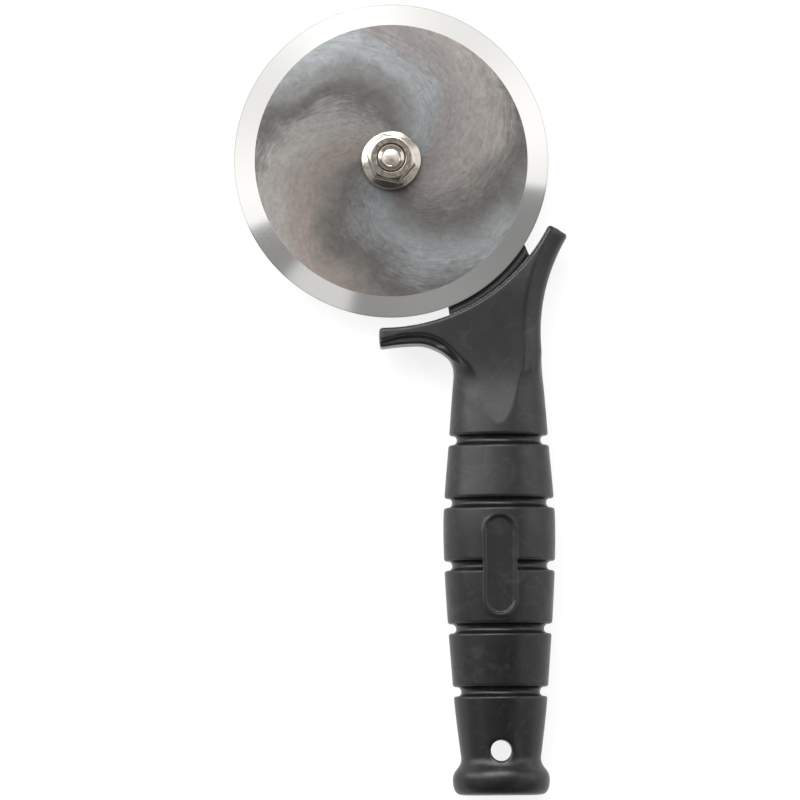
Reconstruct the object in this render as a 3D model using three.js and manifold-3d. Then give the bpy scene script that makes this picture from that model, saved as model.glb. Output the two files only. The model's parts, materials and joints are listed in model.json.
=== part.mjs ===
// Pizza wheel on a guarded, ringed knife handle. Millimetres, +Z up.
// The tool lies flat: the wheel turns about +Z at the origin, the handle runs towards -Y,
// and the outer face of the bolt head lies in the plane z = 0.

import * as THREE from "three";
import { mergeVertices } from "three/addons/utils/BufferGeometryUtils.js";
import Module from "manifold-3d";

const wasm = await Module();
wasm.setup();

// Wheel
const WHEEL_DIAMETER = 95.25;
const WHEEL_THICKNESS = 1.6;
const EDGE_THICKNESS = 0.3;
const BEVEL_WIDTH = 6.35;
const RUNNING_FIT = 0.1;
const WHEEL_PLAY = 0.15;

// Axle hardware, an M8 bolt and flange nut with a sleeve and two washers
const BOLT_DIAMETER = 8;
const BOLT_FIT = 0.15;
const BOLT_CHAMFER = 0.9;
const BOLT_DISH_DIAMETER = 5.2;
const BOLT_DISH_DEPTH = 0.5;
const BOLT_END_PROUD = 0.5;
const HEX_ACROSS_FLATS = 13;
const HEX_TURN = -12;
const HEX_CHAMFER_ANGLE = 30;
const HEAD_HEIGHT = 5.3;
const NUT_HEIGHT = 8;
const NUT_COUNTERSINK = 0.8;
const FLANGE_DIAMETER = 17.9;
const FLANGE_RIM = 1.1;
const FLANGE_SLOPE = 20;
const WASHER_DIAMETER = 15.6;
const WASHER_THICKNESS = 1.2;
const SLEEVE_WALL = 1.4;

// Arm and tang. Angles are round the axle, headings are directions in the wheel's plane, in degrees
const ARM_THICKNESS = 4.5;
const ARM_EDGE = 0.8;
const ARM_LEFT_ANGLE = -69.1;
const ARM_RIGHT_ANGLE = -32.4;
const ARM_LEFT_HEADING = -81.4;
const ARM_RIGHT_HEADING = -67.3;
const ARM_BEND = 22;
const ARM_ROOT = 6.5;
const ARM_ROOT_SAG = 20;
const HUB_DIAMETER = 24;
const BOSS_HEIGHT = 2.35;
const BOSS_CHAMFER = 0.8;
const POCKET_DEPTH = 1.8;
const POCKET_FIT = 0.2;
const SHOULDER_CLEARANCE = 0.9;
const SHOULDER_FILLET = 2;
const SHOULDER_RISE = 5.15;
const TANG_TOP_WIDTH = 14;
const TANG_END_WIDTH = 10;
const TANG_THICKNESS = 7.5;
const TANG_START = 1;
const TANG_LENGTH = 116;
const TANG_HOLE_DIAMETER = 6;
const TANG_HOLE_COUNT = 3;
const CORE_GAP = 0.3;

// Handle. Distances along it are measured from the level of the wheel's lowest point
const AXIS_OFFSET = 31.8;
const HANDLE_LENGTH = 144.3;
const GRIP_WIDTH = 33.8;
const GRIP_THICKNESS = 25;
const NECK_DISTANCE = 12.4;
const NECK_WIDTH = 26;
const NECK_DOME = 10;
const COLLAR_WIDTH = 30.1;
const TAIL_WIDTH = 28.5;
const WAIST_WIDTH = 24;
const WAIST_FROM_BUTT = 11.3;
const POMMEL_WIDTH = 29.2;
const POMMEL_FROM_BUTT = 4.8;
const BUTT_WIDTH = 22.7;
const FIRST_GROOVE = 37.4;
const GROOVE_PITCH = 18.92;
const GROOVE_COUNT = 5;
const GROOVE_WIDTH = 2.8;
const GROOVE_DEPTH = 2.4;
const GROOVE_LIP = 0.95;
const LANYARD_DIAMETER = 6.35;
const LANYARD_FROM_BUTT = 13.45;

// Plaque, an oval field with a raised border that bridges the middle groove
const PLAQUE_WIDTH = 10.2;
const PLAQUE_LENGTH = 31;
const PLAQUE_BORDER = 0.9;
const PLAQUE_DROP = 0.25;
const PLAQUE_DEPTH = 0.6;

// Guard. Its upper edge is an arc round a point a little beyond the axle. The finger's side steps down to
// a lip, and the thumb's side slopes down to a hollow that starts at a set distance and heading from the
// right end of that edge
const GUARD_GAP = 2.85;
const GUARD_ARC_SHIFT = 5.5;
const GUARD_ARC_HEADING = -62;
const GUARD_LEFT_ANGLE = -90.8;
const GUARD_RIGHT_ANGLE = -26.6;
const GUARD_THICKNESS = 17;
const GUARD_EDGE = 0.7;
const GUARD_TIP_THICKNESS = 10.4;
const GUARD_FLAT_RADIUS = 20;
const QUILLON_TIP = 5.9;
const QUILLON_TIP_INSET = 0.4;
const QUILLON_CROWN = 0.5;
const LIP_WIDTH = 2.6;
const LIP_TIP_SHARE = 0.7;
const LIP_THICKNESS = 9;
const LIP_EDGE = 1.4;
const FINGER_FILLET = 10.9;
const FINGER_DISTANCE = 8.4;
const FINGER_HALF_WIDTH = 13.4;
const THUMB_RADIUS = 57;
const THUMB_DISTANCE = 6.43;
const THUMB_HALF_WIDTH = 12.95;
const THUMB_TIP_ANGLE = -32.5;
const THUMB_FADE_ANGLE = 185.5;
const FLANK_WIDTH = 4.6;
const FLANK_HEIGHT = 5.2;
const BODY_FADE = 22;
const LIP_FADE = 5;
const TONGUE_END = 29;
const TONGUE_HALF_WIDTH = 8;
const SCOOP_START = 12.4;
const SCOOP_RADIUS = 80;

// Facets
const WHEEL_FACETS = 96;
const GRIP_FACETS = 40;
const ROUND_FACETS = 36;
const CURVE_STEPS = 8;
const EDGE_STEPS = 2;
const GROOVE_STEPS = 2;

// Levels, measured from the wheel's middle plane
const rim = WHEEL_DIAMETER / 2;
const sleeveHalf = WHEEL_THICKNESS / 2 + WHEEL_PLAY;
const armFront = -sleeveHalf - WASHER_THICKNESS;
const armBack = armFront - ARM_THICKNESS;
const hubBack = armBack - BOSS_HEIGHT;
const headSeat = hubBack + POCKET_DEPTH;
const headBack = headSeat - HEAD_HEIGHT;
const rootFront = armFront + SHOULDER_RISE;
const tangBack = rootFront - TANG_THICKNESS;
const nutBase = sleeveHalf + WASHER_THICKNESS;
const nutTop = nutBase + NUT_HEIGHT;
const boltEnd = nutTop + BOLT_END_PROUD;
const boltHole = BOLT_DIAMETER / 2 + BOLT_FIT;
const sleeveRadius = boltHole + SLEEVE_WALL;
const buttY = -(rim + HANDLE_LENGTH);
const overshoot = GRIP_THICKNESS;

function radians(degrees) {
  return THREE.MathUtils.degToRad(degrees);
}

function polar(radius, degrees) {
  return new THREE.Vector2(Math.cos(radians(degrees)), Math.sin(radians(degrees))).multiplyScalar(radius);
}

// A closed geometry as a solid that can be joined and cut.
function solid(geometry) {
  const bare = geometry.clone();
  bare.deleteAttribute("normal");
  bare.deleteAttribute("uv");
  const merged = mergeVertices(bare, 1e-4);
  const corners = merged.index.array;
  const faces = [];
  for (let first = 0; first < corners.length; first += 3) {
    const [a, b, c] = corners.slice(first, first + 3);
    if (a !== b && b !== c && c !== a) {
      faces.push(a, b, c);
    }
  }
  return new wasm.Manifold(new wasm.Mesh({
    numProp: 3,
    vertProperties: new Float32Array(merged.attributes.position.array),
    triVerts: new Uint32Array(faces),
  }));
}

function piece(name, shape, material) {
  const result = shape.getMesh();
  const geometry = new THREE.BufferGeometry();
  geometry.setAttribute("position", new THREE.BufferAttribute(result.vertProperties, 3));
  geometry.setIndex(new THREE.BufferAttribute(result.triVerts, 1));
  geometry.computeVertexNormals();
  const mesh = new THREE.Mesh(geometry, material);
  mesh.name = name;
  return mesh;
}

// A turned solid round the Z axis, from [radius, level] corners going outwards and up.
function turned(corners, facets = ROUND_FACETS) {
  const profile = corners.map(([radius, level]) => new THREE.Vector2(radius, level));
  return solid(new THREE.LatheGeometry(profile, facets).rotateX(Math.PI / 2));
}

function rod(radius, low, high) {
  return turned([[0, low], [radius, low], [radius, high], [0, high]]);
}

function ring(inner, outer, low, high) {
  return turned([[inner, low], [outer, low], [outer, high], [inner, high], [inner, low]]);
}

// A flat outline given thickness. grow widens it all round, edge rounds its corners.
function slabGeometry(outline, low, high, { grow = 0, edge = 0 } = {}) {
  const geometry = new THREE.ExtrudeGeometry(outline, {
    depth: high - low - 2 * edge,
    bevelThickness: edge,
    bevelSize: edge,
    bevelOffset: grow - edge,
    bevelSegments: edge > 0 ? EDGE_STEPS : 0,
    curveSegments: CURVE_STEPS,
  });
  return geometry.translate(0, 0, low + edge);
}

function slab(outline, low, high, options) {
  return solid(slabGeometry(outline, low, high, options));
}

function hexagon(acrossFlats) {
  const corners = [0, 1, 2, 3, 4, 5].map((side) => polar(acrossFlats / Math.sqrt(3), HEX_TURN + 60 * side));
  return new THREE.Shape(corners);
}

// A hex prism whose corners are turned off at the end that the wrench meets.
function chamferedHex(low, high, topChamfered) {
  const corner = HEX_ACROSS_FLATS / Math.sqrt(3);
  const flat = HEX_ACROSS_FLATS / 2;
  const drop = (corner - flat) * Math.tan(radians(HEX_CHAMFER_ANGLE));
  const bluntLow = topChamfered ? low : low + drop;
  const bluntHigh = topChamfered ? high - drop : high;
  const lowRadius = topChamfered ? corner : flat;
  const highRadius = topChamfered ? flat : corner;
  const turning = turned([
    [0, low], [lowRadius, low], [corner, bluntLow], [corner, bluntHigh], [highRadius, high], [0, high],
  ]);
  return slab(hexagon(HEX_ACROSS_FLATS), low, high).intersect(turning);
}

// Cutting disc, ground to a bevel on both faces.
function bladeWheel() {
  const bore = sleeveRadius + RUNNING_FIT;
  const face = WHEEL_THICKNESS / 2;
  const edge = EDGE_THICKNESS / 2;
  const bevelStart = rim - BEVEL_WIDTH;
  return turned([
    [bore, -face], [bevelStart, -face], [rim, -edge], [rim, edge], [bevelStart, face], [bore, face], [bore, -face],
  ], WHEEL_FACETS);
}

function axleBolt() {
  const shank = BOLT_DIAMETER / 2;
  const dish = BOLT_DISH_DIAMETER / 2;
  const stem = turned([
    [0, headSeat - HEAD_HEIGHT / 2], [shank, headSeat - HEAD_HEIGHT / 2], [shank, boltEnd - BOLT_CHAMFER],
    [shank - BOLT_CHAMFER, boltEnd], [dish, boltEnd], [0, boltEnd - BOLT_DISH_DEPTH],
  ]);
  return chamferedHex(headBack, headSeat, false).add(stem);
}

function flangeNut() {
  const corner = HEX_ACROSS_FLATS / Math.sqrt(3);
  const flange = FLANGE_DIAMETER / 2;
  const slopeRise = (flange - HEX_ACROSS_FLATS / 2) * Math.tan(radians(FLANGE_SLOPE));
  const skirt = turned([
    [0, nutBase], [flange, nutBase], [flange, nutBase + FLANGE_RIM],
    [HEX_ACROSS_FLATS / 2, nutBase + FLANGE_RIM + slopeRise], [0, nutBase + FLANGE_RIM + slopeRise],
  ]);
  const bore = turned([
    [0, nutBase - corner], [boltHole, nutBase - corner], [boltHole, nutTop - NUT_COUNTERSINK],
    [boltHole + NUT_COUNTERSINK, nutTop], [boltHole + NUT_COUNTERSINK, nutTop + corner], [0, nutTop + corner],
  ]);
  return chamferedHex(nutBase, nutTop, true).add(skirt).subtract(bore);
}

// The arm's two sides cross the wheel's rim at set places and headings, and bend back to the hub.
function armSide(angle, heading, side) {
  const crossing = polar(rim, angle);
  const along = polar(1, heading);
  const bend = crossing.clone().addScaledVector(along, -ARM_BEND);
  const root = crossing.clone().addScaledVector(along, SHOULDER_CLEARANCE + SHOULDER_FILLET + ARM_ROOT);
  const spread = Math.acos(HUB_DIAMETER / 2 / bend.length());
  const hubAngle = bend.angle() + side * spread;
  return { crossing, bend, root, hubAngle };
}

const leftSide = armSide(ARM_LEFT_ANGLE, ARM_LEFT_HEADING, -1);
const rightSide = armSide(ARM_RIGHT_ANGLE, ARM_RIGHT_HEADING, 1);
const rootMiddle = leftSide.root.clone().add(rightSide.root).multiplyScalar(0.5);

function addRootEdge(outline) {
  outline.lineTo(leftSide.root.x, leftSide.root.y);
  outline.quadraticCurveTo(AXIS_OFFSET, rootMiddle.y - ARM_ROOT_SAG, rightSide.root.x, rightSide.root.y);
  outline.lineTo(rightSide.crossing.x, rightSide.crossing.y);
}

function armOutline() {
  const outline = new THREE.Shape();
  outline.moveTo(leftSide.crossing.x, leftSide.crossing.y);
  addRootEdge(outline);
  const { x, y } = polar(HUB_DIAMETER / 2, THREE.MathUtils.radToDeg(rightSide.hubAngle));
  outline.quadraticCurveTo(rightSide.bend.x, rightSide.bend.y, x, y);
  outline.absarc(0, 0, HUB_DIAMETER / 2, rightSide.hubAngle, leftSide.hubAngle, false);
  outline.quadraticCurveTo(leftSide.bend.x, leftSide.bend.y, leftSide.crossing.x, leftSide.crossing.y);
  return outline;
}

function rootOutline() {
  const outline = new THREE.Shape();
  outline.moveTo(leftSide.crossing.x, leftSide.crossing.y);
  addRootEdge(outline);
  return outline;
}

const tangTop = rootMiddle.y - TANG_START;
const tangEnd = tangTop - TANG_LENGTH;

function tangOutline() {
  const outline = new THREE.Shape();
  outline.moveTo(AXIS_OFFSET - TANG_TOP_WIDTH / 2, tangTop);
  outline.lineTo(AXIS_OFFSET - TANG_END_WIDTH / 2, tangEnd + TANG_END_WIDTH / 2);
  outline.absarc(AXIS_OFFSET, tangEnd + TANG_END_WIDTH / 2, TANG_END_WIDTH / 2, Math.PI, 2 * Math.PI, false);
  outline.lineTo(AXIS_OFFSET + TANG_TOP_WIDTH / 2, tangTop);
  return outline;
}

// Root and tang inside the handle. grow makes the cavity that holds them.
function rootAndTang(grow) {
  const root = slab(rootOutline(), armBack - grow, rootFront + grow, { grow });
  return root.add(slab(tangOutline(), tangBack - grow, rootFront + grow, { grow }));
}

// Round pins through the tang: cut out of it as holes, left standing in the cavity as keys.
function tangPins(radius) {
  const spacing = TANG_LENGTH / (TANG_HOLE_COUNT + 1);
  let pins = null;
  for (let hole = 1; hole <= TANG_HOLE_COUNT; hole += 1) {
    const pin = solid(new THREE.CylinderGeometry(radius, radius, 2 * GRIP_THICKNESS, ROUND_FACETS / 2)
      .rotateX(Math.PI / 2)
      .translate(AXIS_OFFSET, tangTop - spacing * hole, 0));
    pins = pins ? pins.add(pin) : pin;
  }
  return pins;
}

// Moulded arm that carries the axle, with a filleted shoulder outside the wheel and a tang for the grip.
function armCore() {
  const hub = HUB_DIAMETER / 2;
  const dishFloor = rim + SHOULDER_CLEARANCE;
  const dish = new THREE.Path();
  dish.moveTo(0, armFront);
  dish.lineTo(dishFloor, armFront);
  dish.absarc(dishFloor, armFront + SHOULDER_FILLET, SHOULDER_FILLET, -Math.PI / 2, 0, false);
  dish.lineTo(dishFloor + SHOULDER_FILLET, overshoot);
  dish.lineTo(0, overshoot);
  const wheelDish = turned(dish.getPoints(2).map(({ x, y }) => [x, y]), WHEEL_FACETS);
  const boss = turned([
    [0, hubBack], [hub - BOSS_CHAMFER, hubBack], [hub, hubBack + BOSS_CHAMFER],
    [hub, armBack + ARM_EDGE], [0, armBack + ARM_EDGE],
  ]);
  const pocket = slab(hexagon(HEX_ACROSS_FLATS + 2 * POCKET_FIT), headBack, headSeat);
  return slab(armOutline(), armBack, armFront, { edge: ARM_EDGE })
    .add(rootAndTang(0))
    .subtract(wheelDish)
    .add(boss)
    .subtract(pocket)
    .subtract(rod(boltHole, headBack, overshoot))
    .subtract(tangPins(TANG_HOLE_DIAMETER / 2));
}

function grooveY(index) {
  return -(rim + FIRST_GROOVE + GROOVE_PITCH * index);
}

// Half widths of the barrel at a few places, joined by a smooth curve.
const neckY = -(rim + NECK_DISTANCE);
const waistY = buttY + WAIST_FROM_BUTT;
const crestY = (grooveY(1) + grooveY(2)) / 2;
const barrelCurve = new THREE.CubicInterpolant(
  [waistY, grooveY(GROOVE_COUNT - 1), crestY, grooveY(0), neckY],
  [WAIST_WIDTH / 2, TAIL_WIDTH / 2, GRIP_WIDTH / 2, COLLAR_WIDTH / 2, NECK_WIDTH / 2],
  1,
);

function barrelHalfWidth(y) {
  return barrelCurve.evaluate(y)[0];
}

// Side profile of the grip, from the middle of the butt up to the dome that ends inside the guard.
function gripProfile() {
  const pommelY = buttY + POMMEL_FROM_BUTT;
  const pommel = new THREE.Path();
  pommel.moveTo(0, buttY);
  pommel.lineTo(BUTT_WIDTH / 2, buttY);
  pommel.bezierCurveTo(
    (BUTT_WIDTH + POMMEL_WIDTH) / 4 + GROOVE_LIP, buttY,
    POMMEL_WIDTH / 2, (buttY + pommelY) / 2,
    POMMEL_WIDTH / 2, pommelY,
  );
  pommel.bezierCurveTo(
    POMMEL_WIDTH / 2, (pommelY + waistY) / 2,
    WAIST_WIDTH / 2, (pommelY + waistY) / 2,
    WAIST_WIDTH / 2, waistY,
  );
  const bands = new THREE.Path();
  bands.moveTo(WAIST_WIDTH / 2, waistY);
  const half = GROOVE_WIDTH / 2;
  for (let index = GROOVE_COUNT - 1; index >= 0; index -= 1) {
    const y = grooveY(index);
    const below = barrelHalfWidth(y - half - GROOVE_LIP);
    const above = barrelHalfWidth(y + half + GROOVE_LIP);
    const floorCentre = barrelHalfWidth(y) - GROOVE_DEPTH + half;
    bands.lineTo(below, y - half - GROOVE_LIP);
    bands.quadraticCurveTo(below, y - half, below - GROOVE_LIP, y - half);
    bands.absarc(floorCentre, y, half, -Math.PI / 2, Math.PI / 2, true);
    bands.lineTo(above - GROOVE_LIP, y + half);
    bands.quadraticCurveTo(above, y + half, above, y + half + GROOVE_LIP);
  }
  const dome = new THREE.Path();
  dome.moveTo(NECK_WIDTH / 2, neckY);
  dome.bezierCurveTo(
    NECK_WIDTH / 2, neckY + NECK_DOME / 2,
    NECK_WIDTH / 3, neckY + NECK_DOME,
    0, neckY + NECK_DOME,
  );
  return [...pommel.getPoints(5), ...bands.getPoints(GROOVE_STEPS), ...dome.getPoints(4)];
}

// Cutter for the flat that runs off the guard and scoops up the neck, for one face.
function scoopGeometry() {
  const level = GUARD_THICKNESS / 2;
  const start = -(rim + SCOOP_START);
  const far = Math.asin(FIRST_GROOVE / SCOOP_RADIUS);
  const outline = new THREE.Shape();
  outline.moveTo(0, overshoot);
  outline.lineTo(0, level);
  outline.lineTo(start, level);
  outline.absarc(start, level + SCOOP_RADIUS, SCOOP_RADIUS, -Math.PI / 2, -Math.PI / 2 - far, true);
  outline.lineTo(start - FIRST_GROOVE, overshoot);
  const turn = new THREE.Matrix4().makeBasis(
    new THREE.Vector3(0, 1, 0), new THREE.Vector3(0, 0, 1), new THREE.Vector3(1, 0, 0),
  );
  return slabGeometry(outline, -GRIP_WIDTH, GRIP_WIDTH).applyMatrix4(turn);
}

// Upper edge of the guard, and the thumb's hollow, an arc from the right quillon that touches the neck.
const guardCentre = polar(GUARD_ARC_SHIFT, GUARD_ARC_HEADING + 180);
const guardRadius = rim + GUARD_GAP + GUARD_ARC_SHIFT;
const leftTop = polar(guardRadius, GUARD_LEFT_ANGLE).add(guardCentre);
const rightTop = polar(guardRadius, GUARD_RIGHT_ANGLE).add(guardCentre);
const thumbEnd = polar(THUMB_DISTANCE, THUMB_TIP_ANGLE).add(rightTop);
const thumbX = AXIS_OFFSET + THUMB_HALF_WIDTH + THUMB_RADIUS;
const thumbRise = Math.sqrt(THUMB_RADIUS ** 2 - (thumbX - thumbEnd.x) ** 2);
const thumb = new THREE.Vector2(thumbX, thumbEnd.y - thumbRise);

// Outline of the guard seen along the axle. The two insets draw in the finger's and the thumb's side,
// and fade is where the finger's side leaves for the neck.
function guardOutline(fingerInset, thumbInset, fade) {
  const tipBottom = new THREE.Vector2(
    leftTop.x + QUILLON_TIP_INSET,
    leftTop.y - QUILLON_TIP + fingerInset * LIP_TIP_SHARE,
  );
  const finger = new THREE.Vector2(
    AXIS_OFFSET - FINGER_HALF_WIDTH - FINGER_FILLET,
    -(rim + FINGER_DISTANCE + FINGER_FILLET),
  );
  const fingerRadius = FINGER_FILLET + fingerInset;
  const thumbRadius = THUMB_RADIUS + thumbInset;
  const thumbEndAngle = Math.atan2(thumbRise, thumbEnd.x - thumbX);
  const thumbStart = polar(thumbRadius, THUMB_FADE_ANGLE).add(thumb);
  const thumbTip = polar(thumbRadius, THREE.MathUtils.radToDeg(thumbEndAngle)).add(thumb);
  const tipMiddle = rightTop.clone().add(thumbTip).multiplyScalar(0.5);
  const rightCrown = polar(QUILLON_CROWN, GUARD_RIGHT_ANGLE + 90).add(tipMiddle);
  const tongueY = -(rim + TONGUE_END);
  const tongueSide = (finger.y + tongueY) / 2;

  const outline = new THREE.Shape();
  outline.moveTo(leftTop.x, leftTop.y);
  outline.lineTo(leftTop.x - QUILLON_CROWN, (leftTop.y + tipBottom.y) / 2);
  outline.lineTo(tipBottom.x, tipBottom.y);
  outline.quadraticCurveTo(
    (tipBottom.x + finger.x) / 2, finger.y + fingerRadius,
    finger.x, finger.y + fingerRadius,
  );
  outline.absarc(finger.x, finger.y, fingerRadius, Math.PI / 2, radians(fade), true);
  outline.quadraticCurveTo(AXIS_OFFSET - TONGUE_HALF_WIDTH, tongueSide, AXIS_OFFSET, tongueY);
  outline.quadraticCurveTo(AXIS_OFFSET + TONGUE_HALF_WIDTH, tongueSide, thumbStart.x, thumbStart.y);
  outline.absarc(thumb.x, thumb.y, thumbRadius, radians(THUMB_FADE_ANGLE), thumbEndAngle, true);
  outline.lineTo(rightCrown.x, rightCrown.y);
  outline.lineTo(rightTop.x, rightTop.y);
  outline.absarc(
    guardCentre.x, guardCentre.y, guardRadius,
    radians(GUARD_RIGHT_ANGLE), radians(GUARD_LEFT_ANGLE), true,
  );
  return outline;
}

// Block whose right side slopes down to the thumb's hollow on both faces. Its other sides clear the guard.
function flankedBlock() {
  const tip = thumbEnd.clone().addScaledVector(polar(1, GUARD_RIGHT_ANGLE + 90), GUARD_FLAT_RADIUS);
  const neckEnd = polar(THUMB_RADIUS, THUMB_FADE_ANGLE).add(thumb);
  const endAngle = thumbEnd.clone().sub(thumb).angle();
  const outline = new THREE.Shape();
  outline.moveTo(-rim, tip.y);
  outline.lineTo(-rim, grooveY(0));
  outline.lineTo(neckEnd.x, grooveY(0));
  outline.lineTo(neckEnd.x, neckEnd.y);
  outline.absarc(thumb.x, thumb.y, THUMB_RADIUS, radians(THUMB_FADE_ANGLE), endAngle, true);
  outline.lineTo(tip.x, tip.y);
  const geometry = new THREE.ExtrudeGeometry(outline, {
    depth: 2 * FLANK_HEIGHT,
    bevelThickness: GUARD_THICKNESS / 2 - FLANK_HEIGHT,
    bevelSize: FLANK_WIDTH,
    bevelOffset: -FLANK_WIDTH,
    bevelSegments: 1,
    curveSegments: CURVE_STEPS,
  });
  return solid(geometry.translate(0, 0, -FLANK_HEIGHT));
}

// Lens that thins the guard towards both tips.
function guardCrown() {
  const level = GUARD_THICKNESS / 2;
  const tip = GUARD_TIP_THICKNESS / 2;
  const reach = AXIS_OFFSET + GUARD_FLAT_RADIUS;
  const bend = (GUARD_FLAT_RADIUS + reach) / 2;
  const side = new THREE.Path();
  side.moveTo(0, -level);
  side.lineTo(GUARD_FLAT_RADIUS, -level);
  side.quadraticCurveTo(bend, -level, reach, -tip);
  side.lineTo(reach, tip);
  side.quadraticCurveTo(bend, level, GUARD_FLAT_RADIUS, level);
  side.lineTo(0, level);
  return solid(new THREE.LatheGeometry(side.getPoints(4), GRIP_FACETS)
    .rotateX(Math.PI / 2)
    .translate(AXIS_OFFSET, -rim, 0));
}

// An oval with round ends and straight sides, for the plaque.
function ovalOutline(width, length, y) {
  const radius = width / 2;
  const straight = length / 2 - radius;
  const outline = new THREE.Shape();
  outline.absarc(AXIS_OFFSET, y + straight, radius, 0, Math.PI, false);
  outline.absarc(AXIS_OFFSET, y - straight, radius, Math.PI, 2 * Math.PI, false);
  return outline;
}

// Guard and grip, moulded in one round the root and tang of the arm.
function handleGrip() {
  const profile = gripProfile();
  const barrel = solid(new THREE.LatheGeometry(profile, GRIP_FACETS)
    .scale(1, 1, GRIP_THICKNESS / GRIP_WIDTH)
    .translate(AXIS_OFFSET, 0, 0));
  const frontScoop = solid(scoopGeometry().translate(AXIS_OFFSET, 0, 0));
  const backScoop = solid(scoopGeometry().rotateY(Math.PI).translate(AXIS_OFFSET, 0, 0));
  const level = GUARD_THICKNESS / 2;
  const quillonWall = FINGER_DISTANCE - GUARD_GAP - LIP_WIDTH;
  const edge = Math.min(GUARD_EDGE, quillonWall / 3);
  const body = slab(guardOutline(LIP_WIDTH, 0, BODY_FADE), -level, level, { edge })
    .intersect(guardCrown())
    .intersect(flankedBlock());
  const lipLevel = LIP_THICKNESS / 2;
  const lip = slab(guardOutline(0, GUARD_EDGE, LIP_FADE), -lipLevel, lipLevel, { edge: LIP_EDGE });
  const plaqueTop = GRIP_THICKNESS / 2 - PLAQUE_DROP;
  const plaqueY = grooveY(2);
  const field = ovalOutline(PLAQUE_WIDTH - 2 * PLAQUE_BORDER, PLAQUE_LENGTH - 2 * PLAQUE_BORDER, plaqueY);
  const border = slab(ovalOutline(PLAQUE_WIDTH, PLAQUE_LENGTH, plaqueY), 0, plaqueTop);
  const recess = slab(field, plaqueTop - PLAQUE_DEPTH, overshoot);
  const lanyard = solid(new THREE.CylinderGeometry(
    LANYARD_DIAMETER / 2, LANYARD_DIAMETER / 2, 2 * GRIP_THICKNESS, ROUND_FACETS,
  ).rotateX(Math.PI / 2).translate(AXIS_OFFSET, buttY + LANYARD_FROM_BUTT, 0));
  const cavity = rootAndTang(CORE_GAP).subtract(tangPins(TANG_HOLE_DIAMETER / 2 - CORE_GAP));
  return barrel
    .subtract(frontScoop)
    .subtract(backScoop)
    .add(body)
    .add(lip)
    .add(border)
    .subtract(recess)
    .subtract(lanyard)
    .subtract(cavity);
}

const grippedNylon = new THREE.MeshStandardMaterial({ color: 0x3b3b3c, roughness: 0.6, metalness: 0 });
const armNylon = new THREE.MeshStandardMaterial({ color: 0x2a2a2b, roughness: 0.55, metalness: 0 });
const groundSteel = new THREE.MeshStandardMaterial({ color: 0xb4b1ac, roughness: 0.32, metalness: 1 });
const polishedSteel = new THREE.MeshStandardMaterial({ color: 0xc9c4bb, roughness: 0.2, metalness: 1 });
const sleeveBronze = new THREE.MeshStandardMaterial({ color: 0xa9824c, roughness: 0.4, metalness: 1 });
const washerSteel = new THREE.MeshStandardMaterial({ color: 0x8f8d89, roughness: 0.35, metalness: 1 });

const handle = new THREE.Group();
handle.add(
  piece("handle_grip", handleGrip(), grippedNylon),
  piece("arm_core", armCore(), armNylon),
);

const axle = new THREE.Group();
axle.add(
  piece("axle_bolt", axleBolt(), polishedSteel),
  piece("rear_thrust_washer", ring(boltHole, WASHER_DIAMETER / 2, armFront, -sleeveHalf), washerSteel),
  piece("axle_sleeve", ring(boltHole, sleeveRadius, -sleeveHalf, sleeveHalf), sleeveBronze),
  piece("front_thrust_washer", ring(boltHole, WASHER_DIAMETER / 2, sleeveHalf, nutBase), washerSteel),
  piece("flange_nut", flangeNut(), polishedSteel),
);

const wheel = new THREE.Group();
wheel.add(piece("blade_wheel", bladeWheel(), groundSteel));

const pizzaKnife = new THREE.Group();
pizzaKnife.add(handle, axle, wheel);
pizzaKnife.position.z = -headBack;
pizzaKnife.updateMatrixWorld(true);

export default pizzaKnife;
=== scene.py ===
"""Pizza wheel on a guarded, ringed knife handle, set out for a studio picture.

Sizes are millimetres and are turned to metres as each mesh is made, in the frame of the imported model.
"""
import json
import math

import bpy
import numpy as np
from mathutils import Matrix, Quaternion, Vector


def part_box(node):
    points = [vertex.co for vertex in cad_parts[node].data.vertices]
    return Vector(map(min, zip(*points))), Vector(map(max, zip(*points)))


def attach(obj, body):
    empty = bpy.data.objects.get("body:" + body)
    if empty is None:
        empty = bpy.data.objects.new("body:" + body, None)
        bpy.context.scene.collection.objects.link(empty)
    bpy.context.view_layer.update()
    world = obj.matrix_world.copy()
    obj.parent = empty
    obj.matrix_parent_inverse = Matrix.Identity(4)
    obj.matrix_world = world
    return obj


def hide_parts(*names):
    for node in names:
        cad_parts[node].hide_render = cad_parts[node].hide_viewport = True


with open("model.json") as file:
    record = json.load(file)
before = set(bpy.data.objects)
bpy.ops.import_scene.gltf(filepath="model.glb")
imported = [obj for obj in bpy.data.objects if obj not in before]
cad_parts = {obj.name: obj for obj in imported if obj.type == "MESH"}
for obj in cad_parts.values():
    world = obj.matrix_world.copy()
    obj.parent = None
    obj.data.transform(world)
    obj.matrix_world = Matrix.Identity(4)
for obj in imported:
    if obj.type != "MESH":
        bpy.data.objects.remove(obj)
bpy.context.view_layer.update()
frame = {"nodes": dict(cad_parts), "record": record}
scene = bpy.context.scene

# Stage: a sweep of matt white card that curls up at its rim, with soft lamps overhead, beyond the wheel and
# all round, a dark card over the wheel, and a room with pale walls and a dark roof. The camera looks down
# from above the butt of the handle. The card shows as white to the camera and in the steel.

MM = 0.001
SWEEP_FLAT = 1900
SWEEP_MIDDLE = 475
SWEEP_CURL = 500
SWEEP_STEPS = 64
CURL_STEPS = 9
CARD_WHITE = "#f2f2f0"
CARD_GLOW = 0.68
GLOW_LEVEL = 1.2
WALL_GREY = "#959595"
ROOF_GREY = "#404040"
WALL_TOP = math.sin(math.radians(33))
ROOF_EDGE = math.sin(math.radians(49))

AXLE_PIXEL = (391.16, 159.75)
FRAME_PIXELS = 800
PIXEL_SIZE = 0.3019
CAMERA_ROLL = math.radians(0.413)
CAMERA_TILT = math.radians(3.6)
CAMERA_DISTANCE = 2000
SENSOR = 36

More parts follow.
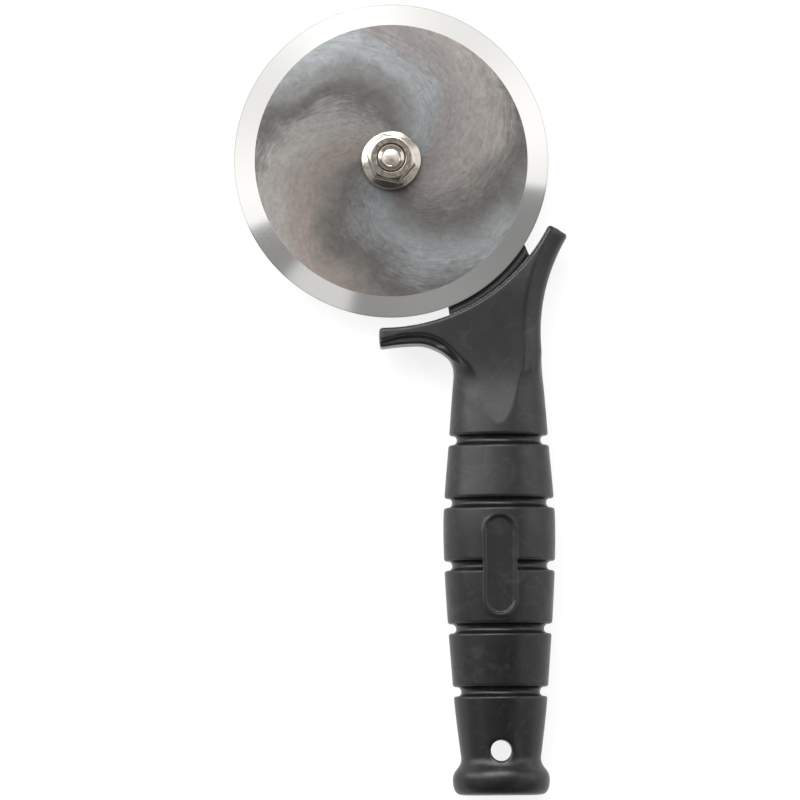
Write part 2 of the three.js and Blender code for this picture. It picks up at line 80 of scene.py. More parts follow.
LAMPS = {
    # name: place, point it faces, turn about that line in degrees, width and height, brightness of its face
    "ceiling_panel": ((-27, 227, 1100), (-27, 227, 0), 7.5, (1300, 420), 1.2),
    "grey_panel": ((0, -66, 550), (0, -66, 0), 7.5, (380, 150), 0.315),
    "far_softbox": ((-520, 1922, 3112), (0, -80, 0), 0, (3300, 1505), 6.8),
    "left_softbox": ((-1300, 490, 1100), (0, 490, 1100), 0, (820, 1600), 3.9),
    "right_softbox": ((1350, 350, 1100), (0, 350, 1100), 0, (1100, 1600), 1.55),
    "front_right_strip": ((1040, -728, 1500), (0, 0, 20), 0, (1150, 200), 1.55),
    "front_left_strip": ((-1150, -540, 1500), (0, 0, 20), 0, (700, 200), 1.4),
    "far_right_strip": ((900, 900, 1500), (0, 0, 20), 0, (800, 200), 1.4),
    "small_lamp": ((-142, -158, 1100), (-142, -158, 0), 0, (120, 120), 0.62),
}
FLAG_PLACE = (0, 70, 1050)
FLAG_RADIUS = 150
FLAG_STEPS = 48
FLAG_GREY = "#3a3632"
FLAG_ROUGHNESS = 0.9


def linear(colour):
    """Turns an sRGB hex colour into the linear colour that Blender's sockets take."""
    channels = [int(colour[start:start + 2], 16) / 255 for start in (1, 3, 5)]
    curved = [part / 12.92 if part <= 0.04045 else ((part + 0.055) / 1.055) ** 2.4 for part in channels]
    return (*curved, 1.0)


def add_node(tree, kind, inputs=None, **settings):
    """Adds a node with its settings. Each input is a value, a socket to link from, or a node, whose first
    output is linked."""
    made = tree.nodes.new(kind)
    for name, value in settings.items():
        setattr(made, name, value)
    for socket, value in (inputs or {}).items():
        source = value.outputs[0] if isinstance(value, bpy.types.Node) else value
        if isinstance(source, bpy.types.NodeSocket):
            tree.links.new(source, made.inputs[socket])
        else:
            made.inputs[socket].default_value = source
    return made


def add_material(name):
    """Adds a material, and gives it with its empty node tree."""
    made = bpy.data.materials.new(name)
    made.use_nodes = True
    made.node_tree.nodes.clear()
    return made, made.node_tree


def add_object(name, points, faces, material):
    """Adds a smooth mesh at the origin from points in millimetres."""
    mesh = bpy.data.meshes.new(name)
    mesh.from_pydata((np.asarray(points) * MM).tolist(), [], np.asarray(faces, dtype=object).tolist())
    mesh.shade_smooth()
    mesh.materials.append(material)
    made = bpy.data.objects.new(name, mesh)
    scene.collection.objects.link(made)
    return made


def skin_rings(rings, ends="fill"):
    """Points and faces of a stack of rings. ends is fill, join (last to first) or open."""
    rings = np.asarray(rings, float)
    count, steps, _ = rings.shape
    index = np.arange(count * steps).reshape(count, steps)
    lower = index if ends == "join" else index[:-1]
    upper = np.roll(index, -1, axis=0)[:len(lower)]
    quads = np.stack([lower, np.roll(lower, -1, axis=1), np.roll(upper, -1, axis=1), upper], axis=-1)
    faces = quads.reshape(-1, 4).tolist()
    if ends == "fill":
        faces.append(index[0][::-1].tolist())
        faces.append(index[-1].tolist())
    return rings.reshape(-1, 3), faces


def turn_profile(profile, steps):
    """Rings round the Z axis, from pairs of a radius and a level, each one number or one for every step."""
    turn = np.linspace(0, 2 * np.pi, steps, endpoint=False)
    rings = []
    for radius, level in profile:
        columns = np.broadcast_arrays(radius * np.cos(turn), radius * np.sin(turn), level)
        rings.append(np.column_stack(columns))
    return rings


# Matt card: an even white that takes the shadow of the tool. Seen straight or in a reflection it is
# lifted towards white, and from below it lets the view through.
card, tree = add_material("matt_white_card")
rays = add_node(tree, "ShaderNodeLightPath").outputs
seen = rays["Is Camera Ray"]
for kind in ("Is Glossy Ray", "Is Transmission Ray"):
    seen = add_node(tree, "ShaderNodeMath", {0: seen, 1: rays[kind]}, operation="MAXIMUM")
lift = add_node(tree, "ShaderNodeMath", {0: seen, 1: CARD_GLOW}, operation="MULTIPLY")
paper = add_node(tree, "ShaderNodeBsdfDiffuse", {"Color": linear(CARD_WHITE)})
glow = add_node(tree, "ShaderNodeEmission", {"Strength": GLOW_LEVEL})
lit = add_node(tree, "ShaderNodeMixShader", {0: lift, 1: paper, 2: glow})
underside = add_node(tree, "ShaderNodeNewGeometry").outputs["Backfacing"]
clear = add_node(tree, "ShaderNodeBsdfTransparent")
shown = add_node(tree, "ShaderNodeMixShader", {0: underside, 1: lit, 2: clear})
add_node(tree, "ShaderNodeOutputMaterial", {"Surface": shown})

curl = np.linspace(0, np.pi / 2, CURL_STEPS)
sweep_profile = [(SWEEP_MIDDLE, 0)]
sweep_profile += zip(SWEEP_FLAT + SWEEP_CURL * np.sin(curl), SWEEP_CURL * (1 - np.cos(curl)))
points, faces = skin_rings(turn_profile(sweep_profile, SWEEP_STEPS), ends="open")
faces = [face[::-1] for face in faces] + [list(range(SWEEP_STEPS))]
sweep = add_object("card_sweep", points, faces, card)

# Dark card: dull and dark, so that the flat top of the nut mirrors something darker than the lamps.
flag_card, tree = add_material("dark_card")
shader = add_node(tree, "ShaderNodeBsdfPrincipled", {
    "Base Color": linear(FLAG_GREY), "Roughness": FLAG_ROUGHNESS})
add_node(tree, "ShaderNodeOutputMaterial", {"Surface": shader})
flag_ring = turn_profile([(FLAG_RADIUS, 0)], FLAG_STEPS)[0] + np.array(FLAG_PLACE)
flag = add_object("dark_flag", flag_ring, [list(range(FLAG_STEPS))[::-1]], flag_card)
flag.visible_camera = False

for name, (place, facing, turn, (width, height), brightness) in LAMPS.items():
    lamp = bpy.data.lights.new(name, "AREA")
    lamp.shape = "RECTANGLE"
    lamp.size = width * MM
    lamp.size_y = height * MM
    lamp.energy = brightness * math.pi * lamp.size * lamp.size_y
    holder = bpy.data.objects.new(name, lamp)
    holder.location = Vector(place) * MM
    heading = (Vector(facing) - Vector(place)).to_track_quat("-Z", "Y")
    heading = heading @ Quaternion((0, 0, 1), math.radians(turn))
    holder.rotation_euler = heading.to_euler()
    holder.visible_camera = False
    scene.collection.objects.link(holder)

room = bpy.data.worlds.new("studio_room")
room.use_nodes = True
tree = room.node_tree
way = add_node(tree, "ShaderNodeTexCoord").outputs["Generated"]
climb = add_node(tree, "ShaderNodeSeparateXYZ", {0: way}).outputs["Z"]
overhead = add_node(tree, "ShaderNodeMapRange", {"Value": climb, "From Min": WALL_TOP, "From Max": ROOF_EDGE})
shade = add_node(tree, "ShaderNodeMix", {
    "Factor": overhead, "A": linear(WALL_GREY), "B": linear(ROOF_GREY)}, data_type="RGBA")
tree.links.new(shade.outputs["Result"], tree.nodes["Background"].inputs["Color"])
scene.world = room
scene.view_settings.view_transform = "Standard"

wheel_low, wheel_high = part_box("blade_wheel")
wheel_plane = (wheel_low.z + wheel_high.z) / 2 / MM
view_right = Vector((math.cos(CAMERA_ROLL), -math.sin(CAMERA_ROLL), 0))
view_up = Vector((math.sin(CAMERA_ROLL), math.cos(CAMERA_ROLL), 0))
aim = Vector((0, 0, wheel_plane))
aim += view_right * (FRAME_PIXELS / 2 - AXLE_PIXEL[0]) * PIXEL_SIZE
aim += view_up * (AXLE_PIXEL[1] - FRAME_PIXELS / 2) * PIXEL_SIZE
camera_back = Vector((0, 0, math.cos(CAMERA_TILT))) - view_up * math.sin(CAMERA_TILT)
camera_up = camera_back.cross(view_right)
camera = bpy.data.objects.new("camera", bpy.data.cameras.new("camera"))
camera.data.sensor_width = SENSOR
camera.data.lens = SENSOR * CAMERA_DISTANCE / (FRAME_PIXELS * PIXEL_SIZE)
camera_turn = Matrix((view_right, camera_up, camera_back)).transposed().to_4x4()
camera.matrix_world = Matrix.Translation((aim + camera_back * CAMERA_DISTANCE) * MM) @ camera_turn
scene.collection.objects.link(camera)
scene.camera = camera

# Arm core: the arm behind the wheel that carries the axle, with a hub boss and a hex pocket at its back,
# a filleted shoulder round the wheel's rim and a tang inside the grip. Moulded in black glass-filled
# nylon, with edges rounded as a mould leaves them.

ARM_THICKNESS = 4.5
ARM_EDGE = 0.8
ARM_LEFT_ANGLE = -69.1
ARM_RIGHT_ANGLE = -32.4
ARM_LEFT_HEADING = -81.4
ARM_RIGHT_HEADING = -67.3
ARM_BEND = 22
ARM_ROOT = 9.4
ARM_ROOT_SAG = 20
HUB_RADIUS = 12
HUB_EDGE = 0.9
BOSS_OVERLAP = 1
POCKET_ACROSS_FLATS = 13.4
POCKET_DEPTH = 1.8
AXLE_HOLE_RADIUS = 4.15
HEX_TURN = -12
SHOULDER_CLEARANCE = 0.9
SHOULDER_FILLET = 2
TANG_TOP_WIDTH = 14
TANG_END_WIDTH = 10
TANG_THICKNESS = 7.5
TANG_START = 1
TANG_LENGTH = 116
TANG_HOLE_RADIUS = 3
TANG_HOLE_COUNT = 3
ARM_CELL = 0.5
GRID_MARGIN = 1.5
SHARP = 1e-6
ARM_DARK = "#131314"
ARM_LIGHT = "#1b1b1c"
ARM_ROUGHNESS = 0.42
NYLON_IOR = 1.5
# Most of a noise lies between these, so they are stretched to the range that is wanted.
NOISE_MIDDLE = {"From Min": 0.3, "From Max": 0.7}
MOTTLE_SIZE = 5
SCUFF_SIZE = 7
SCUFF_MIDDLE = {"From Min": 0.52, "From Max": 0.72}
SCUFF_MOST = 0.6
SCUFF_TONE = "#363637"
SHEEN_SWING = 0.06
GRAIN_SIZE = 0.45
GRAIN_DEPTH = 0.018


def polar(radius, degrees):
    """Point at a distance and a heading from the axle."""
    return radius * np.array([math.cos(math.radians(degrees)), math.sin(math.radians(degrees))])


def arc(centre, radius, start, end, steps=32):
    """Points along an arc between two headings in degrees."""
    turn = np.radians(np.linspace(start, end, steps))
    return np.asarray(centre) + radius * np.column_stack([np.cos(turn), np.sin(turn)])


def bend(start, control, end, steps=20):
    """Points along a curve that leaves start and reaches end along the lines to control."""
    share = np.linspace(0, 1, steps)[:, None]
    start, control, end = (np.asarray(point) for point in (start, control, end))
    return (1 - share) ** 2 * start + 2 * share * (1 - share) * control + share ** 2 * end


def outline_distance(outline, x, y):
    """Distance in the XY plane to a closed outline, negative inside it."""
    nearest = np.inf
    inside = False
    for start, end in zip(outline, np.roll(outline, -1, axis=0)):
        along_x, along_y = end - start
        if along_x == 0 and along_y == 0:
            continue
        from_x = x - start[0]
        from_y = y - start[1]
        share = np.clip((from_x * along_x + from_y * along_y) / (along_x ** 2 + along_y ** 2), 0, 1)
        nearest = np.minimum(nearest, (from_x - share * along_x) ** 2 + (from_y - share * along_y) ** 2)
        if along_y != 0:
            inside = inside ^ (((start[1] > y) != (end[1] > y)) & (from_x < from_y * along_x / along_y))
    return np.where(inside, -1, 1) * np.sqrt(nearest)


def meet(first, second, radius=SHARP):
    """What two solids share, with the edge between them rounded."""
    corner = np.hypot(np.maximum(first + radius, 0), np.maximum(second + radius, 0))
    return np.minimum(np.maximum(first, second), -radius) + corner


def join(first, second, radius=SHARP):
    """Two solids together, with a fillet where they meet."""
    return -meet(-first, -second, radius)


def cut(first, second, radius=SHARP):
    """The first solid without the second, with the edge of the cut rounded."""
    return meet(first, -second, radius)


def between(value, low, high):
    """Distance to the layer between two levels, negative inside it."""
    return np.abs(value - (low + high) / 2) - (high - low) / 2


def mesh_solid(solid, x_steps, y_steps, z_steps):
    """Points and faces of the surface where a distance function is zero, one point for each cell it
    crosses."""
    grid = np.meshgrid(x_steps, y_steps, z_steps, indexing="ij", sparse=True)
    field = np.broadcast_to(solid(*grid), [levels.size for levels in grid])
    cells = [levels.size - 1 for levels in grid]
    crossings = np.zeros(cells)
    sums = np.zeros((3, *cells))
    edges = []
    for axis in range(3):
        low = np.take(field, range(cells[axis]), axis)
        high = np.take(field, range(1, cells[axis] + 1), axis)
        crossed = (low < 0) != (high < 0)
        share = np.where(crossed, low / np.where(crossed, low - high, 1), 0)
        place = list(grid)
        place[axis] = np.take(grid[axis], range(cells[axis]), axis) + share * np.diff(grid[axis], axis=axis)
        others = [other for other in range(3) if other != axis]
        for shift in np.ndindex(2, 2):
            window = [slice(None)] * 3
            for other, offset in zip(others, shift):
                window[other] = slice(offset, offset + cells[other])
            hit = crossed[tuple(window)]
            crossings += hit
            for side in range(3):
                spots = np.broadcast_to(place[side], crossed.shape)[tuple(window)]
                sums[side] += np.where(hit, spots, 0)
        edges.append((crossed, low < 0))
    used = crossings > 0
    number = np.where(used, np.cumsum(used).reshape(cells) - 1, -1)
    points = (sums[:, used] / crossings[used]).T
    faces = []
    for axis, (crossed, starts_inside) in enumerate(edges):
        at = np.argwhere(crossed)
        corners = []
        for back in ((1, 1), (0, 1), (0, 0), (1, 0)):
            cell = at.copy()
            cell[:, [(axis + 1) % 3, (axis + 2) % 3]] -= back
            corners.append(number[tuple(cell.T)])
        quads = np.stack(corners, axis=1)
        inward = ~starts_inside[crossed]
        quads[inward] = quads[inward][:, ::-1]
        faces.append(quads)
    return settle(solid, points), np.concatenate(faces)


def settle(solid, points, rounds=2, reach=0.04, most=0.3, flattest=0.25):
    """Moves points onto the surface along its slope, by most at a time. The slope is read over reach to
    either side, and its square counts as flattest at least."""
    for _ in range(rounds):
        value = solid(*points.T)
        slope = np.zeros_like(points)
        for axis in range(3):
            step = np.zeros(3)
            step[axis] = reach
            slope[:, axis] = (solid(*(points + step).T) - solid(*(points - step).T)) / (2 * reach)
        shift = value / np.maximum((slope ** 2).sum(axis=1), flattest)
        points = points - slope * np.clip(shift, -most, most)[:, None]
    return points


def moulded_nylon(name, dark, light, roughness):
    """Glass-filled nylon from a spark-eroded mould: near black, faintly mottled by the glass, a little
    scuffed and with a fine grain that breaks up the sheen. The real grain is about 0.1 mm and is drawn
    coarser, so that it shows."""
    made, tree = add_material(name)
    place = add_node(tree, "ShaderNodeTexCoord").outputs["Object"]
    mottle = add_node(tree, "ShaderNodeTexNoise", {
        "Vector": place, "Scale": 1 / (MOTTLE_SIZE * MM), "Detail": 4, "Roughness": 0.6})
    scuff = add_node(tree, "ShaderNodeTexNoise", {
        "Vector": place, "Scale": 1 / (SCUFF_SIZE * MM), "Detail": 6, "Roughness": 0.65, "Distortion": 1.5})
    grain = add_node(tree, "ShaderNodeTexNoise", {
        "Vector": place, "Scale": 1 / (GRAIN_SIZE * MM), "Detail": 2})
    tint = add_node(tree, "ShaderNodeMapRange", {"Value": mottle, **NOISE_MIDDLE})
    skin = add_node(tree, "ShaderNodeMix", {
        "Factor": tint, "A": linear(dark), "B": linear(light)}, data_type="RGBA")
    wear = add_node(tree, "ShaderNodeMapRange", {"Value": scuff, **SCUFF_MIDDLE, "To Max": SCUFF_MOST})
    worn = add_node(tree, "ShaderNodeMix", {
        "Factor": wear, "A": skin.outputs["Result"], "B": linear(SCUFF_TONE)}, data_type="RGBA")
    sheen = add_node(tree, "ShaderNodeMapRange", {
        "Value": mottle, **NOISE_MIDDLE,
        "To Min": roughness + SHEEN_SWING, "To Max": roughness - SHEEN_SWING})
    bump = add_node(tree, "ShaderNodeBump", {"Height": grain, "Distance": GRAIN_DEPTH * MM, "Strength": 1})
    shader = add_node(tree, "ShaderNodeBsdfPrincipled", {
        "Base Color": worn.outputs["Result"], "Roughness": sheen, "IOR": NYLON_IOR, "Normal": bump})
    add_node(tree, "ShaderNodeOutputMaterial", {"Surface": shader})
    return made


butt = next(mount for mount in frame["record"]["mounts"] if mount["name"] == "butt_face")
axis_x, butt_y, handle_plane = (value / MM for value in butt["pos_m"])
rim = wheel_high.x / MM
arm_low, arm_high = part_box("arm_core")
hub_back = arm_low.z / MM
root_front = arm_high.z / MM
arm_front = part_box("rear_thrust_washer")[0].z / MM
arm_back = arm_front - ARM_THICKNESS


def arm_side(angle, heading, side):
    """Where one side of the arm crosses the rim, bends, ends in the grip and meets the hub."""
    crossing = polar(rim, angle)
    bend_point = crossing - polar(ARM_BEND, heading)
    root = crossing + polar(ARM_ROOT, heading)
    opening = math.degrees(math.acos(HUB_RADIUS / np.hypot(*bend_point)))
    hub_angle = math.degrees(math.atan2(bend_point[1], bend_point[0])) + side * opening
    return crossing, bend_point, root, hub_angle


left_crossing, left_bend, left_root, left_hub = arm_side(ARM_LEFT_ANGLE, ARM_LEFT_HEADING, -1)
right_crossing, right_bend, right_root, right_hub = arm_side(ARM_RIGHT_ANGLE, ARM_RIGHT_HEADING, 1)
root_middle = (left_root + right_root) / 2
root_edge = bend(left_root, (axis_x, root_middle[1] - ARM_ROOT_SAG), right_root)
arm_outline = np.vstack([
    left_crossing, root_edge,
    bend(right_crossing, right_bend, polar(HUB_RADIUS, right_hub)),
    arc((0, 0), HUB_RADIUS, right_hub, left_hub + 360),
    bend(polar(HUB_RADIUS, left_hub), left_bend, left_crossing),
])
root_outline = np.vstack([left_crossing, root_edge, right_crossing])
tang_top = root_middle[1] - TANG_START
tang_end = tang_top - TANG_LENGTH
tang_outline = np.vstack([
    (axis_x - TANG_TOP_WIDTH / 2, tang_top),
    arc((axis_x, tang_end + TANG_END_WIDTH / 2), TANG_END_WIDTH / 2, 180, 360),
    (axis_x + TANG_TOP_WIDTH / 2, tang_top),
])


def hex_distance(across_flats, x, y):
    """Distance to the nearest flat of a hexagon round the axle, negative inside it."""
    headings = [polar(1, HEX_TURN + 30 + 60 * side) for side in range(6)]
    return np.maximum.reduce([x * out_x + y * out_y for out_x, out_y in headings]) - across_flats / 2


def arm_solid(x, y, z):
    """Distance to the arm core."""
    out = np.hypot(x, y)
    plate = meet(outline_distance(arm_outline, x, y), between(z, arm_back, arm_front), ARM_EDGE)
    root = meet(outline_distance(root_outline, x, y), between(z, arm_back, root_front), ARM_EDGE)
    tang_layer = between(z, root_front - TANG_THICKNESS, root_front)
    tang = meet(outline_distance(tang_outline, x, y), tang_layer, ARM_EDGE)
    dish = meet(arm_front - z, out - rim - SHOULDER_CLEARANCE - SHOULDER_FILLET, SHOULDER_FILLET)
    boss = meet(out - HUB_RADIUS, between(z, hub_back, arm_back + BOSS_OVERLAP), HUB_EDGE)
    pocket = np.maximum(hex_distance(POCKET_ACROSS_FLATS, x, y), z - hub_back - POCKET_DEPTH)
    made = join(cut(join(plate, join(root, tang)), dish, ARM_EDGE / 2), boss)
    made = cut(cut(made, pocket, ARM_EDGE / 4), out - AXLE_HOLE_RADIUS, ARM_EDGE / 4)
    for hole in range(1, TANG_HOLE_COUNT + 1):
        hole_y = tang_top - TANG_LENGTH * hole / (TANG_HOLE_COUNT + 1)
        made = cut(made, np.hypot(x - axis_x, y - hole_y) - TANG_HOLE_RADIUS, ARM_EDGE / 2)
    return made


def steps_across(low, high, cell):
    """Grid levels from a little below low to a little above high."""
    return np.arange(low - GRID_MARGIN * cell, high + (GRID_MARGIN + 1) * cell, cell)


arm_nylon = moulded_nylon("black_satin_nylon", ARM_DARK, ARM_LIGHT, ARM_ROUGHNESS)
points, faces = mesh_solid(
    arm_solid, *(steps_across(low / MM, high / MM, ARM_CELL) for low, high in zip(arm_low, arm_high)))
moulded_arm = add_object("moulded_arm", points, faces, arm_nylon)
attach(moulded_arm, "handle")
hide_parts("arm_core")

# Grip: guard, scooped neck, ringed oval barrel and pommel in one moulding round the tang, in black
# glass-filled nylon. The guard's upper edge follows the wheel, its left side steps down to a lip for the
# finger, and an oval plaque with a raised border bridges the middle groove.

GRIP_WIDTH = 33.8
GRIP_THICKNESS = 25
NECK_DISTANCE = 12.4
NECK_WIDTH = 26
COLLAR_WIDTH = 30.1
TAIL_WIDTH = 28.5
WAIST_WIDTH = 24
WAIST_FROM_BUTT = 11.3
POMMEL_WIDTH = 29.2
POMMEL_FROM_BUTT = 4.8
POMMEL_BULGE = 1
BUTT_WIDTH = 22.7
BUTT_EDGE = 0.6
CURVE_STEPS = 40
BARREL_STEPS = 240
STEEPEST = 3
TINY = 1e-9
FIRST_GROOVE = 37.4
GROOVE_PITCH = 18.92
GROOVE_COUNT = 5
GROOVE_WIDTH = 2.8
GROOVE_DEPTH = 2.4
GROOVE_LIP = 0.8
LANYARD_RADIUS = 3.175
LANYARD_FROM_BUTT = 13.45
LANYARD_EDGE = 0.5
PLAQUE_WIDTH = 10.2
PLAQUE_LENGTH = 31
PLAQUE_BORDER = 0.9
PLAQUE_TOP = 12.25
PLAQUE_DEPTH = 0.6
PLAQUE_EDGE = 0.25
GUARD_GAP = 2.85
GUARD_ARC_SHIFT = 5.5
GUARD_ARC_HEADING = 118
GUARD_LEFT_ANGLE = -90.8
GUARD_RIGHT_ANGLE = -26.6
GUARD_HALF_THICKNESS = 8.5
GUARD_EDGE = 0.8
FACET_EDGE = 0.04
FLANK_WIDTH = 4.6
FLANK_HEIGHT = 5.2
FLANK_EDGE = 1.6
TIP_DROP = 3.3
TIP_REACH = 32
TIP_FLAT = 18
QUILLON_TIP = 5.9
QUILLON_CROWN = 0.5
QUILLON_CORNER = 1
QUILLON_OVERRUN = 4
LIP_WIDTH = 2.6
LIP_TIP_SHARE = 0.7
LIP_STEP = 1.8
LIP_EDGE = 0.5
LIP_FILLET = 0.5
FINGER_FILLET = 10.9
FINGER_DISTANCE = 8.4
FINGER_HALF_WIDTH = 13.4
THUMB_RADIUS = 57
THUMB_DISTANCE = 6.43
THUMB_TIP_HEADING = -32.5
THUMB_HALF_WIDTH = 12.95
THUMB_FADE_ANGLE = 185.5
BODY_FADE = 22
LIP_FADE = 5
COLUMN_END = 30
BLEND_START = 9
BLEND_END = 22
SCOOP_START = 18.4
SCOOP_SLOPE = math.tan(math.radians(9))
SCOOP_BEND = 6
MORPH_DEPTH = 1
ROOT_GAP = 0.3
GRIP_CELL = 0.5
GROOVE_CELL = 0.26
GRIP_DARK = "#0c0c0d"
GRIP_LIGHT = "#18181a"
GRIP_ROUGHNESS = 0.35

groove_levels = [-(rim + FIRST_GROOVE + GROOVE_PITCH * index) for index in range(GROOVE_COUNT)]
neck_y = -(rim + NECK_DISTANCE)
waist_y = butt_y + WAIST_FROM_BUTT
pommel_y = butt_y + POMMEL_FROM_BUTT
crest_y = (groove_levels[1] + groove_levels[2]) / 2


def smooth_curve(knots, values, at):
    """Smooth curve through a few values; each inner slope is the one between its two neighbours."""
    knots = np.asarray(knots)
    values = np.asarray(values)
    rise = np.diff(values) / np.diff(knots)
    slopes = np.zeros(len(knots))
    slopes[1:-1] = (values[2:] - values[:-2]) / (knots[2:] - knots[:-2])
    slopes[0] = (3 * rise[0] - slopes[1]) / 2
    slopes[-1] = (3 * rise[-1] - slopes[-2]) / 2
    span = np.clip(np.searchsorted(knots, at) - 1, 0, len(knots) - 2)
    width = knots[span + 1] - knots[span]
    share = (at - knots[span]) / width
    rest = 1 - share
    start = (1 + 2 * share) * rest ** 2 * values[span] + share * rest ** 2 * width * slopes[span]
    end = share ** 2 * (3 - 2 * share) * values[span + 1] - share ** 2 * rest * width * slopes[span + 1]
    return start + end


def barrel_profile():
    """Levels and half widths of the barrel without its grooves, from the butt up to the neck."""
    share = np.linspace(0, 1, CURVE_STEPS)
    middle = (butt_y + pommel_y) / 2
    below = (pommel_y + waist_y) / 2
    shoulder = (BUTT_WIDTH + POMMEL_WIDTH) / 4 + POMMEL_BULGE

    def curve(start, leave, arrive, end):
        """Run of one measure from start to end, drawn towards leave and then towards arrive."""
        drawn = 3 * share * (1 - share) * ((1 - share) * leave + share * arrive)
        return (1 - share) ** 3 * start + drawn + share ** 3 * end

    pommel_levels = curve(butt_y, butt_y, middle, pommel_y)
    pommel_halves = curve(BUTT_WIDTH / 2, shoulder, POMMEL_WIDTH / 2, POMMEL_WIDTH / 2)
    waist_levels = curve(pommel_y, below, below, waist_y)
    waist_halves = curve(POMMEL_WIDTH / 2, POMMEL_WIDTH / 2, WAIST_WIDTH / 2, WAIST_WIDTH / 2)
    barrel_levels = np.linspace(waist_y, neck_y, BARREL_STEPS)
    barrel_halves = smooth_curve(
        [waist_y, groove_levels[-1], crest_y, groove_levels[0], neck_y],
        [WAIST_WIDTH / 2, TAIL_WIDTH / 2, GRIP_WIDTH / 2, COLLAR_WIDTH / 2, NECK_WIDTH / 2], barrel_levels)
    levels = np.concatenate([pommel_levels, waist_levels[1:], barrel_levels[1:]])
    halves = np.concatenate([pommel_halves, waist_halves[1:], barrel_halves[1:]])
    return levels, halves


profile_levels, profile_halves = barrel_profile()
profile_slopes = np.gradient(profile_halves, profile_levels)


def barrel_distance(across, y, z):
    """Distance to the oval barrel without its grooves."""
    flatness = GRIP_WIDTH / GRIP_THICKNESS
    half = np.interp(y, profile_levels, profile_halves)
    slope = np.interp(y, profile_levels, np.clip(profile_slopes, -STEEPEST, STEEPEST))
    oval = np.hypot(across, z * flatness) + TINY
    steepness = np.hypot(np.hypot(across, z * flatness ** 2) / oval, slope)
    side = (oval - half) / steepness
    return meet(side, butt_y - y, BUTT_EDGE)


guard_centre = polar(GUARD_ARC_SHIFT, GUARD_ARC_HEADING)
guard_radius = rim + GUARD_GAP + GUARD_ARC_SHIFT
left_top = guard_centre + polar(guard_radius, GUARD_LEFT_ANGLE)
right_top = guard_centre + polar(guard_radius, GUARD_RIGHT_ANGLE)
thumb_end = right_top + polar(THUMB_DISTANCE, THUMB_TIP_HEADING)
thumb_x = axis_x + THUMB_HALF_WIDTH + THUMB_RADIUS
thumb_rise = math.sqrt(THUMB_RADIUS ** 2 - (thumb_x - thumb_end[0]) ** 2)
thumb = np.array([thumb_x, thumb_end[1] - thumb_rise])
thumb_end_angle = math.degrees(math.atan2(thumb_rise, thumb_end[0] - thumb_x))


def guard_outline(finger_inset, thumb_inset, fade):
    """Outline of the guard seen along the axle, run on past both tips and down the neck. The insets draw in
    its two sides, and fade is where the finger's side leaves for the neck."""
    tip_bottom = left_top + np.array([0, finger_inset * LIP_TIP_SHARE - QUILLON_TIP])
    finger = np.array([axis_x - FINGER_HALF_WIDTH - FINGER_FILLET, -(rim + FINGER_DISTANCE + FINGER_FILLET)])
    finger_top = finger + np.array([0, FINGER_FILLET + finger_inset])
    finger_arc = arc(finger, FINGER_FILLET + finger_inset, 90, fade)
    overrun = math.degrees(QUILLON_OVERRUN / THUMB_RADIUS)
    thumb_arc = arc(thumb, THUMB_RADIUS + thumb_inset, THUMB_FADE_ANGLE, thumb_end_angle - overrun, 48)
    column_y = -(rim + COLUMN_END)
    return np.vstack([
        tip_bottom - np.array([QUILLON_OVERRUN, 0]),
        bend(tip_bottom, ((tip_bottom[0] + finger[0]) / 2, finger_top[1]), finger_top),
        finger_arc[1:],
        (finger_arc[-1][0], column_y),
        (thumb_arc[0][0], column_y),
        thumb_arc,
        arc(guard_centre, guard_radius, GUARD_RIGHT_ANGLE + overrun, GUARD_LEFT_ANGLE - overrun, 64),
    ])


body_outline = guard_outline(LIP_WIDTH, 0, BODY_FADE)
lip_outline = guard_outline(0, LIP_WIDTH, LIP_FADE)


def quillon_distance(outline, x, y):
    """Distance to an outline of the guard, with both tips cut square and their corners rounded."""
    right_x, right_y = polar(1, GUARD_RIGHT_ANGLE + 90)
    beyond_right = (x - right_top[0]) * right_x + (y - right_top[1]) * right_y
    beyond_left = left_top[0] - QUILLON_CROWN - x
    made = meet(outline_distance(outline, x, y), beyond_left, QUILLON_CORNER)
    return meet(made, beyond_right, QUILLON_CORNER)


def oval_distance(width, length, across, y):
    """Distance to an oval with round ends and straight sides."""
    straight = (length - width) / 2
    return np.hypot(across, np.maximum(np.abs(y) - straight, 0)) - width / 2


